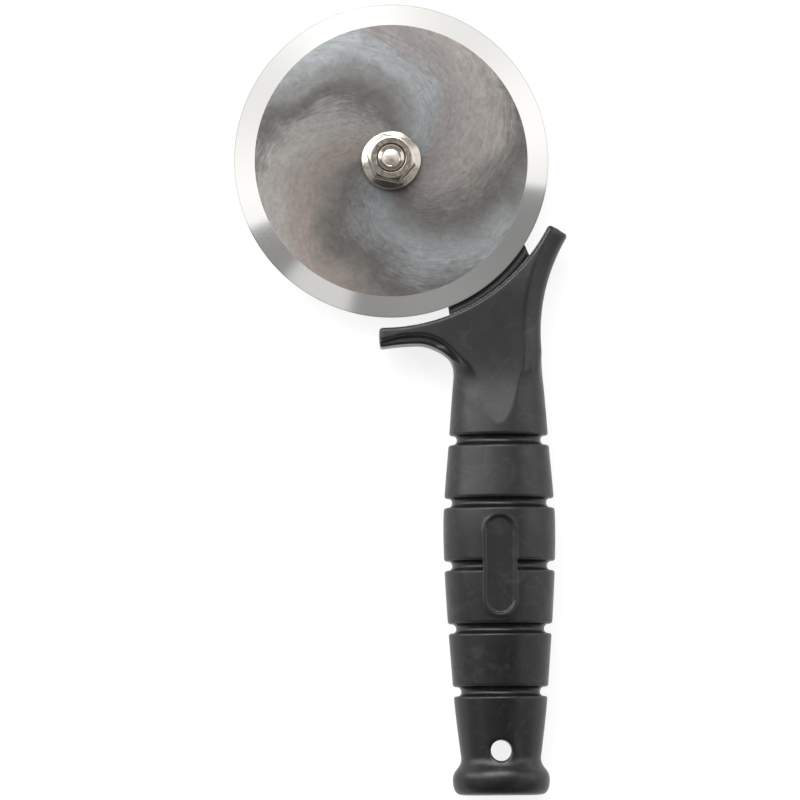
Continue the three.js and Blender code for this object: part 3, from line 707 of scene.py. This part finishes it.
def grip_solid(x, y, z):
    """Distance to the grip. Heights are taken from its middle plane."""
    across = x - axis_x
    height = z - handle_plane
    barrel = barrel_distance(across, y, height)
    inward = np.maximum(-barrel - GROOVE_DEPTH + GROOVE_WIDTH / 2, 0)
    for level in groove_levels:
        barrel = cut(barrel, np.hypot(inward, y - level) - GROOVE_WIDTH / 2, GROOVE_LIP)

    from_neck = np.hypot(across, np.maximum(y - neck_y, 0))
    drop = TIP_DROP * np.clip((from_neck - TIP_FLAT) / TIP_REACH, 0, 1) ** 2
    from_thumb = np.hypot(x - thumb[0], y - thumb[1]) - THUMB_RADIUS
    flank_slope = (GUARD_HALF_THICKNESS - FLANK_HEIGHT) / FLANK_WIDTH
    flank = (np.abs(height) - FLANK_HEIGHT + drop - flank_slope * from_thumb) / math.hypot(1, flank_slope)
    body = meet(quillon_distance(body_outline, x, y), flank, FLANK_EDGE)
    blend = np.clip((-(rim + BLEND_START) - y) / (BLEND_END - BLEND_START), 0, 1)
    lip_face = np.abs(height) - GUARD_HALF_THICKNESS + LIP_STEP * (1 - blend) ** 2 + drop
    lip = meet(quillon_distance(lip_outline, x, y), lip_face, LIP_EDGE)
    guard = np.maximum(join(body, lip, LIP_FILLET), -MORPH_DEPTH)
    sides = guard + blend ** 2 * (3 - 2 * blend) * (barrel - guard)

    run = -(rim + SCOOP_START) - y
    climb = SCOOP_SLOPE * (run + np.hypot(run, SCOOP_BEND)) / 2
    face = np.abs(height) - GUARD_HALF_THICKNESS - climb + drop
    edge = np.clip(FACET_EDGE + (y - neck_y) / FINGER_FILLET, FACET_EDGE, GUARD_EDGE)
    made = meet(sides, face, edge)

    plaque_y = y - groove_levels[2]
    plaque = oval_distance(PLAQUE_WIDTH, PLAQUE_LENGTH, across, plaque_y)
    border = meet(plaque, between(height, 0, PLAQUE_TOP), PLAQUE_EDGE)
    field = meet(plaque + PLAQUE_BORDER, PLAQUE_TOP - PLAQUE_DEPTH - height, PLAQUE_EDGE)
    made = cut(join(made, border, PLAQUE_EDGE), field, PLAQUE_EDGE)
    lanyard = np.hypot(across, y - butt_y - LANYARD_FROM_BUTT) - LANYARD_RADIUS
    made = cut(made, lanyard, LANYARD_EDGE)
    mouth = np.maximum(outline_distance(root_outline, x, y) - ROOT_GAP,
                       between(z, arm_back - ROOT_GAP, root_front + ROOT_GAP))
    return cut(made, mouth)


def grip_levels(low, high):
    """Grid levels along the grip, closer together round the grooves."""
    levels = [low - GRID_MARGIN * GRIP_CELL]
    while levels[-1] < high + GRID_MARGIN * GRIP_CELL:
        nearest = min(abs(levels[-1] - level) for level in groove_levels)
        levels.append(levels[-1] + (GROOVE_CELL if nearest < GROOVE_WIDTH else GRIP_CELL))
    return np.array(levels)


grip_nylon = moulded_nylon("black_matt_nylon", GRIP_DARK, GRIP_LIGHT, GRIP_ROUGHNESS)
grip_low, grip_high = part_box("handle_grip")
points, faces = mesh_solid(
    grip_solid,
    steps_across(grip_low.x / MM, grip_high.x / MM, GRIP_CELL),
    grip_levels(grip_low.y / MM, grip_high.y / MM),
    steps_across(grip_low.z / MM, grip_high.z / MM, GRIP_CELL))
moulded_grip = add_object("moulded_grip", points, faces, grip_nylon)
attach(moulded_grip, "handle")
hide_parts("handle_grip")

# Axle bolt: an M8 hex bolt of stainless steel, with its head in the arm's pocket and a rolled thread.
# The end that shows inside the nut is chamfered and has a shallow turned dish, a little out of square.

BOLT_RADIUS = 4
BOLT_CHAMFER = 0.6
BOLT_FACE_RADIUS = 2.95
CHAMFER_EASE = 0.1
CHAMFER_EASE_HEIGHT = 0.12
FACE_EASE = 0.08
FACE_EASE_DEPTH = 0.04
DISH_RADIUS = 2.7
DISH_DEPTH = 0.28
DISH_CROWN = 0.2
DISH_TILT = math.tan(math.radians(3.2))
DISH_HEADING = math.radians(60)
DISH_EASE_DEPTH = 0.06
DISH_WALL = 0.2
DISH_MIDDLE = 0.1
DISH_RINGS = 12
HEX_ACROSS_FLATS = 13
HEX_CROWN_RADIUS = 0.95 * HEX_ACROSS_FLATS / 2
HEX_CHAMFER_SLOPE = math.tan(math.radians(20))
HEX_EDGE = 0.18
LEAST_SLANT = 0.4
HEAD_HEIGHT = 5.3
HEAD_CHAMFER_TOP = 1.2
HEAD_RINGS = 13
THREAD_PITCH = 1.25
THREAD_DEPTH = 0.6
THREAD_START = 13.6
THREAD_RINGS = 12
CREST_FLAT = 0.05
ROOT_STRETCH = 1.15
BOLT_STEPS = 144
CREASE_ANGLE = math.radians(25)
BOLT_ROUGHNESS = 0.22
POLISH_SWING = 0.04
STEEL_WARM = "#c4bcb1"
STEEL_COOL = "#b4ada4"
STEEL_MIDDLE = {"From Min": 0.35, "From Max": 0.65}
RIPPLE_SIZE = 1.2
RIPPLE_DEPTH = 0.03
PIT_SIZE = 0.8
PIT_DEPTH = 0.02
PIT_REACH = 0.18


def formed_steel(name, roughness):
    """Cold formed stainless steel: bright and faintly warm, with soft ripples and a few pits that break up
    what it mirrors. The marks are drawn at about 1 mm so that they show."""
    made, tree = add_material(name)
    place = add_node(tree, "ShaderNodeTexCoord").outputs["Object"]
    cloud = add_node(tree, "ShaderNodeTexNoise", {
        "Vector": place, "Scale": 1 / (RIPPLE_SIZE * MM), "Detail": 5, "Roughness": 0.6})
    tint = add_node(tree, "ShaderNodeMapRange", {"Value": cloud, **STEEL_MIDDLE})
    colour = add_node(tree, "ShaderNodeMix", {
        "Factor": tint, "A": linear(STEEL_COOL), "B": linear(STEEL_WARM)}, data_type="RGBA")
    sheen = add_node(tree, "ShaderNodeMapRange", {
        "Value": cloud, **NOISE_MIDDLE,
        "To Min": roughness - POLISH_SWING, "To Max": roughness + SHEEN_SWING})
    pits = add_node(tree, "ShaderNodeTexVoronoi", {"Vector": place, "Scale": 1 / (PIT_SIZE * MM)})
    depth = add_node(tree, "ShaderNodeMapRange", {"Value": pits, "From Max": PIT_REACH})
    bump = add_node(tree, "ShaderNodeBump", {"Height": depth, "Distance": PIT_DEPTH * MM, "Strength": 0.2})
    ripple = add_node(tree, "ShaderNodeBump", {
        "Height": cloud, "Distance": RIPPLE_DEPTH * MM, "Strength": 0.25, "Normal": bump})
    shader = add_node(tree, "ShaderNodeBsdfPrincipled", {
        "Base Color": colour.outputs["Result"], "Metallic": 1, "Roughness": sheen, "Normal": ripple})
    add_node(tree, "ShaderNodeOutputMaterial", {"Surface": shader})
    return made


def soft_least(first, second, width):
    """The smaller of two radii, eased over a width where they are close."""
    return np.minimum(first, second) - np.maximum(width - np.abs(first - second), 0) ** 2 / (4 * width)


def hex_radii(across_flats, turn):
    """Distance from the axis to the sides of a hexagon, with its corners eased."""
    radii = np.full(len(turn), across_flats)
    for side in range(6):
        slant = np.cos(turn - math.radians(HEX_TURN + 30 + 60 * side))
        radii = soft_least(radii, across_flats / 2 / np.maximum(slant, LEAST_SLANT), HEX_EDGE)
    return radii


bolt_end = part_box("axle_bolt")[1].z / MM
bolt_turn = np.linspace(0, 2 * np.pi, BOLT_STEPS, endpoint=False)
head_sides = hex_radii(HEX_ACROSS_FLATS, bolt_turn)
bolt_profile = []
for level in np.linspace(0, HEAD_CHAMFER_TOP, HEAD_RINGS):
    cone = HEX_CROWN_RADIUS + level / HEX_CHAMFER_SLOPE
    bolt_profile.append((soft_least(head_sides, cone, HEX_EDGE), level))
bolt_profile += [(head_sides, HEAD_HEIGHT), (BOLT_RADIUS, HEAD_HEIGHT), (BOLT_RADIUS, THREAD_START)]
for level in np.arange(THREAD_START, bolt_end - BOLT_CHAMFER, THREAD_PITCH / THREAD_RINGS):
    turns = (level - THREAD_START) / THREAD_PITCH
    phase = turns - bolt_turn / (2 * np.pi)
    ridge = np.abs(2 * (phase - np.floor(phase)) - 1)
    groove = THREAD_DEPTH * min(turns, 1) * np.clip(ROOT_STRETCH * ridge - CREST_FLAT, 0, 1)
    bolt_profile.append((BOLT_RADIUS - groove, level))
bolt_profile += [
    (BOLT_RADIUS, bolt_end - BOLT_CHAMFER),
    (BOLT_RADIUS - CHAMFER_EASE, bolt_end - BOLT_CHAMFER + CHAMFER_EASE_HEIGHT),
    (BOLT_FACE_RADIUS + FACE_EASE, bolt_end - FACE_EASE_DEPTH),
    (BOLT_FACE_RADIUS, bolt_end),
    (DISH_RADIUS + FACE_EASE, bolt_end),
    (DISH_RADIUS, bolt_end - DISH_EASE_DEPTH),
]
for radius in np.linspace(DISH_RADIUS - DISH_WALL, DISH_MIDDLE, DISH_RINGS):
    crown = DISH_CROWN * (1 - (radius / DISH_RADIUS) ** 2)
    slant = DISH_TILT * radius * np.cos(bolt_turn - DISH_HEADING)
    bolt_profile.append((radius, bolt_end - DISH_DEPTH + crown - slant))
dull_steel = formed_steel("cold_formed_stainless_steel", BOLT_ROUGHNESS)
points, faces = skin_rings(turn_profile(bolt_profile, BOLT_STEPS))
turned_bolt = add_object("hex_bolt", points, faces, dull_steel)
turned_bolt.data.set_sharp_from_angle(angle=CREASE_ANGLE)
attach(turned_bolt, "handle")
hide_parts("axle_bolt")

# Washers and sleeve: rings on the axle, held by the nut. Two stamped stainless washers with eased edges and
# a turned bronze sleeve that keeps them apart and that the wheel runs on.

RING_CHAMFER = 0.12
WASHER_STEPS = 96
SAME_PLACE = 0.001
SATIN_SIZE = 1.5
BRONZE_DARK = "#8f6a3c"
BRONZE_LIGHT = "#b08a54"
BRONZE_ROUGHNESS = 0.4
WASHER_DARK = "#6f6c68"
WASHER_LIGHT = "#93908b"
WASHER_ROUGHNESS = 0.35
RING_SIZES = ("Bore", "Rim", "Low", "High", "Bevel", "Edge", "Chamfer")

turned_ring = bpy.data.node_groups.new("turned_ring", "GeometryNodeTree")
for size in RING_SIZES:
    turned_ring.interface.new_socket(size, in_out="INPUT", socket_type="NodeSocketFloat")
turned_ring.interface.new_socket("Steps", in_out="INPUT", socket_type="NodeSocketInt")
turned_ring.interface.new_socket("Material", in_out="INPUT", socket_type="NodeSocketMaterial")
turned_ring.interface.new_socket("Geometry", in_out="OUTPUT", socket_type="NodeSocketGeometry")
given = add_node(turned_ring, "NodeGroupInput").outputs
measures = {size: given[size] for size in RING_SIZES}
for name, first, operation, second in (
    ("Bore end", "Bore", "ADD", "Chamfer"),
    ("Bevel start", "Rim", "SUBTRACT", "Bevel"),
    ("Low chamfer", "Low", "ADD", "Chamfer"),
    ("High chamfer", "High", "SUBTRACT", "Chamfer"),
    ("Both faces", "Low", "ADD", "High"),
    ("Middle", "Both faces", "MULTIPLY", 0.5),
    ("Half edge", "Edge", "MULTIPLY", 0.5),
    ("Edge low", "Middle", "SUBTRACT", "Half edge"),
    ("Edge high", "Middle", "ADD", "Half edge"),
):
    measures[name] = add_node(turned_ring, "ShaderNodeMath", {
        0: measures[first], 1: measures.get(second, second)}, operation=operation)

# Corners of the ring's section, measured outwards from the rim. The sweep turns their height over.
corners = []
for radius, level in (
    ("Bore", "Low chamfer"), ("Bore end", "Low"), ("Bevel start", "Low"), ("Rim", "Edge low"),
    ("Rim", "Edge high"), ("Bevel start", "High"), ("Bore end", "High"), ("Bore", "High chamfer"),
):
    outward = add_node(turned_ring, "ShaderNodeMath", {
        0: measures[radius], 1: given["Rim"]}, operation="SUBTRACT")
    height = add_node(turned_ring, "ShaderNodeMath", {0: measures[level], 1: -1}, operation="MULTIPLY")
    corners.append(add_node(turned_ring, "ShaderNodeCombineXYZ", {"X": outward, "Y": height}))
corner_number = add_node(turned_ring, "GeometryNodeInputIndex")
pick = add_node(turned_ring, "GeometryNodeIndexSwitch", {"Index": corner_number}, data_type="VECTOR")
while len(pick.index_switch_items) < len(corners):
    pick.index_switch_items.new()
for corner, socket in zip(reversed(corners), pick.inputs[1:]):
    turned_ring.links.new(corner.outputs[0], socket)
section = add_node(turned_ring, "GeometryNodeCurvePrimitiveCircle", {"Resolution": len(corners)})
section = add_node(turned_ring, "GeometryNodeSetPosition", {"Geometry": section, "Position": pick})
around = add_node(turned_ring, "GeometryNodeCurvePrimitiveCircle", {
    "Resolution": given["Steps"], "Radius": given["Rim"]})
swept = add_node(turned_ring, "GeometryNodeCurveToMesh", {"Curve": around, "Profile Curve": section})
whole = add_node(turned_ring, "GeometryNodeRealizeInstances", {"Geometry": swept})
dressed = add_node(turned_ring, "GeometryNodeSetMaterial", {"Geometry": whole, "Material": given["Material"]})
add_node(turned_ring, "NodeGroupOutput", {"Geometry": dressed})


def turn_ring(name, node, bevel, edge, steps, material):
    """A ring of the node's own size, as a plain mesh with a crisp edge at each corner of its section."""
    low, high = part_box(node)
    solid = np.array([vertex.co for vertex in frame["nodes"][node].data.vertices])
    sizes = {
        "Bore": float(np.hypot(solid[:, 0], solid[:, 1]).min()), "Rim": high.x, "Low": low.z, "High": high.z,
        "Bevel": bevel * MM, "Edge": edge * MM if edge else high.z - low.z - 2 * bevel * MM,
        "Chamfer": RING_CHAMFER * MM, "Steps": steps, "Material": material,
    }
    made = bpy.data.objects.new(name, bpy.data.meshes.new(name))
    scene.collection.objects.link(made)
    turning = made.modifiers.new("turning", "NODES")
    turning.node_group = turned_ring
    for item in turned_ring.interface.items_tree:
        if item.in_out == "INPUT":
            turning[item.identifier] = sizes[item.name]
    made.data = bpy.data.meshes.new_from_object(made.evaluated_get(bpy.context.evaluated_depsgraph_get()))
    made.modifiers.remove(turning)
    made.data.name = name
    made.data.shade_smooth()
    section_place = np.array([(vertex.co.xy.length, vertex.co.z) for vertex in made.data.vertices])
    for line in made.data.edges:
        start, end = line.vertices
        line.use_edge_sharp = bool(np.abs(section_place[start] - section_place[end]).max() < SAME_PLACE * MM)
    return made


def satin_metal(name, dark, light, roughness):
    """Plain stamped or turned metal: an even satin, faintly clouded."""
    made, tree = add_material(name)
    place = add_node(tree, "ShaderNodeTexCoord").outputs["Object"]
    cloud = add_node(tree, "ShaderNodeTexNoise", {
        "Vector": place, "Scale": 1 / (SATIN_SIZE * MM), "Detail": 4})
    tint = add_node(tree, "ShaderNodeMapRange", {"Value": cloud, **NOISE_MIDDLE})
    colour = add_node(tree, "ShaderNodeMix", {
        "Factor": tint, "A": linear(dark), "B": linear(light)}, data_type="RGBA")
    shader = add_node(tree, "ShaderNodeBsdfPrincipled", {
        "Base Color": colour.outputs["Result"], "Metallic": 1, "Roughness": roughness})
    add_node(tree, "ShaderNodeOutputMaterial", {"Surface": shader})
    return made


stamped_steel = satin_metal("stamped_stainless_steel", WASHER_DARK, WASHER_LIGHT, WASHER_ROUGHNESS)
bearing_bronze = satin_metal("turned_bearing_bronze", BRONZE_DARK, BRONZE_LIGHT, BRONZE_ROUGHNESS)
for name, node, material, slot in (
    ("rear_washer", "rear_thrust_washer", stamped_steel, "washer_steel"),
    ("bearing_sleeve", "axle_sleeve", bearing_bronze, "sleeve_bronze"),
    ("front_washer", "front_thrust_washer", stamped_steel, "washer_steel"),
):
    made = turn_ring(name, node, RING_CHAMFER, None, WASHER_STEPS, material)
    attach(made, "handle")
    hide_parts(node)

# Wheel: a stainless disc that turns on the sleeve, ground flat on a turning table and then bevelled on both
# faces to a thin cutting edge.

WHEEL_STEPS = 480
WHEEL_EDGE = 0.3
BEVEL_WIDTH = 6.35
SWIRL_PER_MM = math.radians(2.8)
PAINTED_BAND_TONES = (
    # heading of a band of painted reflection at the axle, in degrees, and its tone
    (0, "#929495"),
    (14, "#999c9e"),
    (32, "#838382"),
    (56, "#686664"),
    (88, "#918e8b"),
    (126, "#8b827c"),
    (165, "#656361"),
    (212, "#858889"),
    (252, "#676562"),
    (300, "#928d8a"),
    (335, "#8b8785"),
)
BAND_WANDER = 0.14
BAND_FEATHER = 0.08
CLOUD_SIZE = 15
PATCH_SIZE = 5
FLECK_SIZE = 2.6
STROKE_LENGTH = 2.2
STROKE_WIDTH = 1.25
STROKE_RADIUS = 25
STROKE_SWIRLS = (math.radians(2.1), math.radians(3.4))
HATCH_SHADES = (0.78, 1.02)
FLECK_SHADES = (0.9, 1.1)
BAND_LIGHTS = (0.12, 0.32)
GAIN_REACH = (12, 40)
PAINTED_SHADE_GAIN_SHARES = (-0.25, 0.24)
FACE_ROUGHNESS = 0.58
BEVEL_TONE = "#dfdedb"
BEVEL_ROUGHNESS = 0.08
BEVEL_SEAM = 0.05
PAINTED_SHEEN_PERIODS = 4
PAINTED_SHEEN_TURN = math.radians(60)
PAINTED_SHEEN_SHADES = (0.88, 1.08)
HONED_WIDTH = 0.5
HONED_TONE = "#cfccc7"


def ground_steel():
    """Stainless steel ground flat, clouded and covered with short crossing strokes, with a bright smooth
    bevel round the rim. Over the face lie broad soft bands of painted reflection that swirl out from the
    axle, bluish and warm by turns. They stand out more towards the rim, and painted shade darkens them near
    the axle round the nut. The bevel has a painted sheen, lighter and darker in four turns. The strokes are
    drawn wide enough to show."""
    made, tree = add_material("ground_stainless_steel")
    place = add_node(tree, "ShaderNodeTexCoord").outputs["Object"]
    flat = add_node(tree, "ShaderNodeVectorMath", {0: place, 1: (1, 1, 0)}, operation="MULTIPLY")
    reach = add_node(tree, "ShaderNodeVectorMath", {0: flat}, operation="LENGTH").outputs["Value"]
    millimetres = add_node(tree, "ShaderNodeMath", {0: reach, 1: 1 / MM}, operation="MULTIPLY")

    def unwind(per_millimetre):
        """Heading from the axle with a swirl taken out, as a unit vector."""
        angle = add_node(tree, "ShaderNodeMath", {0: millimetres, 1: -per_millimetre}, operation="MULTIPLY")
        turned = add_node(tree, "ShaderNodeVectorRotate", {
            "Vector": flat, "Angle": angle}, rotation_type="Z_AXIS")
        return add_node(tree, "ShaderNodeVectorMath", {0: turned}, operation="NORMALIZE")

    def strokes(per_millimetre):
        """Short strokes along a swirl, of their true width at one radius."""
        across = add_node(tree, "ShaderNodeVectorMath", {
            0: unwind(per_millimetre), "Scale": STROKE_RADIUS / STROKE_WIDTH}, operation="SCALE")
        along = add_node(tree, "ShaderNodeMath", {0: millimetres, 1: 1 / STROKE_LENGTH}, operation="MULTIPLY")
        lift = add_node(tree, "ShaderNodeCombineXYZ", {"Z": along})
        spot = add_node(tree, "ShaderNodeVectorMath", {0: across, 1: lift}, operation="ADD")
        return add_node(tree, "ShaderNodeTexNoise", {
            "Vector": spot, "Scale": 1, "Detail": 1.5, "Distortion": 1})

    def bearing(direction):
        """Angle of a direction round the axle."""
        axes = add_node(tree, "ShaderNodeSeparateXYZ", {0: direction}).outputs
        return add_node(tree, "ShaderNodeMath", {0: axes["Y"], 1: axes["X"]}, operation="ARCTAN2")

    cloud = add_node(tree, "ShaderNodeTexNoise", {
        "Vector": place, "Scale": 1 / (CLOUD_SIZE * MM), "Detail": 0})
    patch = add_node(tree, "ShaderNodeTexNoise", {
        "Vector": place, "Scale": 1 / (PATCH_SIZE * MM), "Detail": 2, "Distortion": 0.8})
    fleck = add_node(tree, "ShaderNodeTexNoise", {
        "Vector": place, "Scale": 1 / (FLECK_SIZE * MM), "Detail": 3, "Distortion": 1.5})
    crossing = add_node(tree, "ShaderNodeMapRange", {"Value": cloud, **NOISE_MIDDLE})
    hatch = add_node(tree, "ShaderNodeMix", {
        "Factor": crossing, "A": strokes(STROKE_SWIRLS[0]), "B": strokes(STROKE_SWIRLS[1])})

    # Painted reflection: bands of tone that swirl out from the axle, bluish and warm by turns.
    angle = bearing(unwind(SWIRL_PER_MM))
    for noise, sway in ((cloud, BAND_WANDER), (patch, BAND_FEATHER), (hatch, BAND_FEATHER)):
        shift = add_node(tree, "ShaderNodeMapRange", {
            "Value": noise, **NOISE_MIDDLE, "To Min": -sway, "To Max": sway})
        angle = add_node(tree, "ShaderNodeMath", {0: angle, 1: shift}, operation="ADD")
    turns = add_node(tree, "ShaderNodeMath", {0: angle, 1: 1 / (2 * math.pi)}, operation="MULTIPLY")
    turns = add_node(tree, "ShaderNodeMath", {0: turns}, operation="FRACT")
    bands = add_node(tree, "ShaderNodeValToRGB", {"Fac": turns})
    bands.color_ramp.interpolation = "EASE"
    stops = bands.color_ramp.elements
    stops[0].color = linear(PAINTED_BAND_TONES[0][1])
    stops[1].color = linear(PAINTED_BAND_TONES[0][1])
    for degrees, tone in PAINTED_BAND_TONES[1:]:
        stops.new(degrees / 360).color = linear(tone)

    light = add_node(tree, "ShaderNodeMapRange", {
        "Value": bands, "From Min": BAND_LIGHTS[0], "From Max": BAND_LIGHTS[1]})
    # Painted shade round the nut: light bands are darkened near the axle. Towards the rim the painted bands
    # are made stronger.
    gain = add_node(tree, "ShaderNodeMapRange", {
        "Value": millimetres, "From Min": GAIN_REACH[0], "From Max": GAIN_REACH[1],
        "To Min": PAINTED_SHADE_GAIN_SHARES[0], "To Max": PAINTED_SHADE_GAIN_SHARES[1]})
    shade = add_node(tree, "ShaderNodeMath", {0: light, 1: gain, 2: 1}, operation="MULTIPLY_ADD")
    for noise, (least, most) in ((hatch, HATCH_SHADES), (fleck, FLECK_SHADES)):
        depth = add_node(tree, "ShaderNodeMapRange", {
            "Value": noise, **NOISE_MIDDLE, "To Min": least, "To Max": most})
        shade = add_node(tree, "ShaderNodeMath", {0: shade, 1: depth}, operation="MULTIPLY")
    face = add_node(tree, "ShaderNodeVectorMath", {0: bands, "Scale": shade}, operation="SCALE")

    # Painted sheen on the bevel: lighter and darker in four turns round the rim, a painted reflection of
    # bright areas mirrored in it.
    sheen = add_node(tree, "ShaderNodeMath", {
        0: bearing(flat), 1: PAINTED_SHEEN_PERIODS, 2: -PAINTED_SHEEN_TURN}, operation="MULTIPLY_ADD")
    sheen = add_node(tree, "ShaderNodeMath", {0: sheen}, operation="COSINE")
    sheen = add_node(tree, "ShaderNodeMapRange", {
        "Value": sheen, "From Min": -1, "To Min": PAINTED_SHEEN_SHADES[0], "To Max": PAINTED_SHEEN_SHADES[1]})
    honed = add_node(tree, "ShaderNodeMapRange", {
        "Value": millimetres, "From Min": rim - HONED_WIDTH, "From Max": rim - HONED_WIDTH / 2})
    bevel = add_node(tree, "ShaderNodeMix", {
        "Factor": honed, "A": linear(BEVEL_TONE), "B": linear(HONED_TONE)}, data_type="RGBA")
    bevel = add_node(tree, "ShaderNodeVectorMath", {
        0: bevel.outputs["Result"], "Scale": sheen}, operation="SCALE")

    edge = rim - BEVEL_WIDTH
    on_bevel = add_node(tree, "ShaderNodeMapRange", {
        "Value": millimetres, "From Min": edge - BEVEL_SEAM, "From Max": edge + BEVEL_SEAM})
    colour = add_node(tree, "ShaderNodeMix", {"Factor": on_bevel, "A": face, "B": bevel}, data_type="RGBA")
    roughness = add_node(tree, "ShaderNodeMapRange", {
        "Value": on_bevel, "To Min": FACE_ROUGHNESS, "To Max": BEVEL_ROUGHNESS})
    shader = add_node(tree, "ShaderNodeBsdfPrincipled", {
        "Base Color": colour.outputs["Result"], "Metallic": 1, "Roughness": roughness})
    add_node(tree, "ShaderNodeOutputMaterial", {"Surface": shader})
    return made


ground_wheel = turn_ring("ground_wheel", "blade_wheel", BEVEL_WIDTH, WHEEL_EDGE, WHEEL_STEPS, ground_steel())
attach(ground_wheel, "wheel")
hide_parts("blade_wheel")

# Flange nut: a hex nut with a coned flange in one piece, cold formed in stainless steel and polished.
# Its corners are turned off at the top, and a countersink leads into the thread.

FLANGE_RADIUS = 8.95
FLANGE_RIM = 1.1
FLANGE_SLOPE = math.tan(math.radians(20))
FLANGE_EDGE = 0.35
FLANGE_FILLET = 0.4
FLANGE_FOOT = 0.3
SKIRT_LEVELS = np.linspace(0.15, 2.6, 50)
FLAT_LEVELS = np.linspace(2.8, 6.6, 12)
CROWN_START = 6.7
CROWN_RINGS = 26
CROWN_EASE = 0.25
NUT_BORE = 4.15
COUNTERSINK = 0.4
COUNTERSINK_EASE = 0.05
COUNTERSINK_EASE_DEPTH = 0.03
NUT_STEPS = 288
NUT_ROUGHNESS = 0.2

nut_low, nut_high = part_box("flange_nut")
nut_base = nut_low.z / MM
nut_top = nut_high.z / MM
nut_height = nut_top - nut_base
nut_turn = np.linspace(0, 2 * np.pi, NUT_STEPS, endpoint=False)
nut_sides = hex_radii(HEX_ACROSS_FLATS, nut_turn)
crown_levels = np.linspace(CROWN_START, nut_height, CROWN_RINGS)
nut_profile = [(NUT_BORE, nut_base), (FLANGE_RADIUS - FLANGE_FOOT, nut_base)]
for level in np.concatenate([SKIRT_LEVELS, FLAT_LEVELS, crown_levels]):
    cone = HEX_CROWN_RADIUS + (nut_height - level) / HEX_CHAMFER_SLOPE
    wrench = soft_least(nut_sides, cone, HEX_EDGE)
    skirt = soft_least(FLANGE_RADIUS, FLANGE_RADIUS - (level - FLANGE_RIM) / FLANGE_SLOPE, FLANGE_EDGE)
    nut_profile.append((-soft_least(-wrench, -skirt, FLANGE_FILLET), nut_base + level))
nut_profile += [
    (HEX_CROWN_RADIUS - CROWN_EASE, nut_top),
    (NUT_BORE + COUNTERSINK + COUNTERSINK_EASE, nut_top),
    (NUT_BORE + COUNTERSINK, nut_top - COUNTERSINK_EASE_DEPTH),
    (NUT_BORE, nut_top - COUNTERSINK),
]
points, faces = skin_rings(turn_profile(nut_profile, NUT_STEPS), ends="join")
bright_steel = formed_steel("polished_stainless_steel", NUT_ROUGHNESS)
polished_nut = add_object("polished_nut", points, faces, bright_steel)
polished_nut.data.set_sharp_from_angle(angle=CREASE_ANGLE)
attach(polished_nut, "handle")
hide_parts("flange_nut")
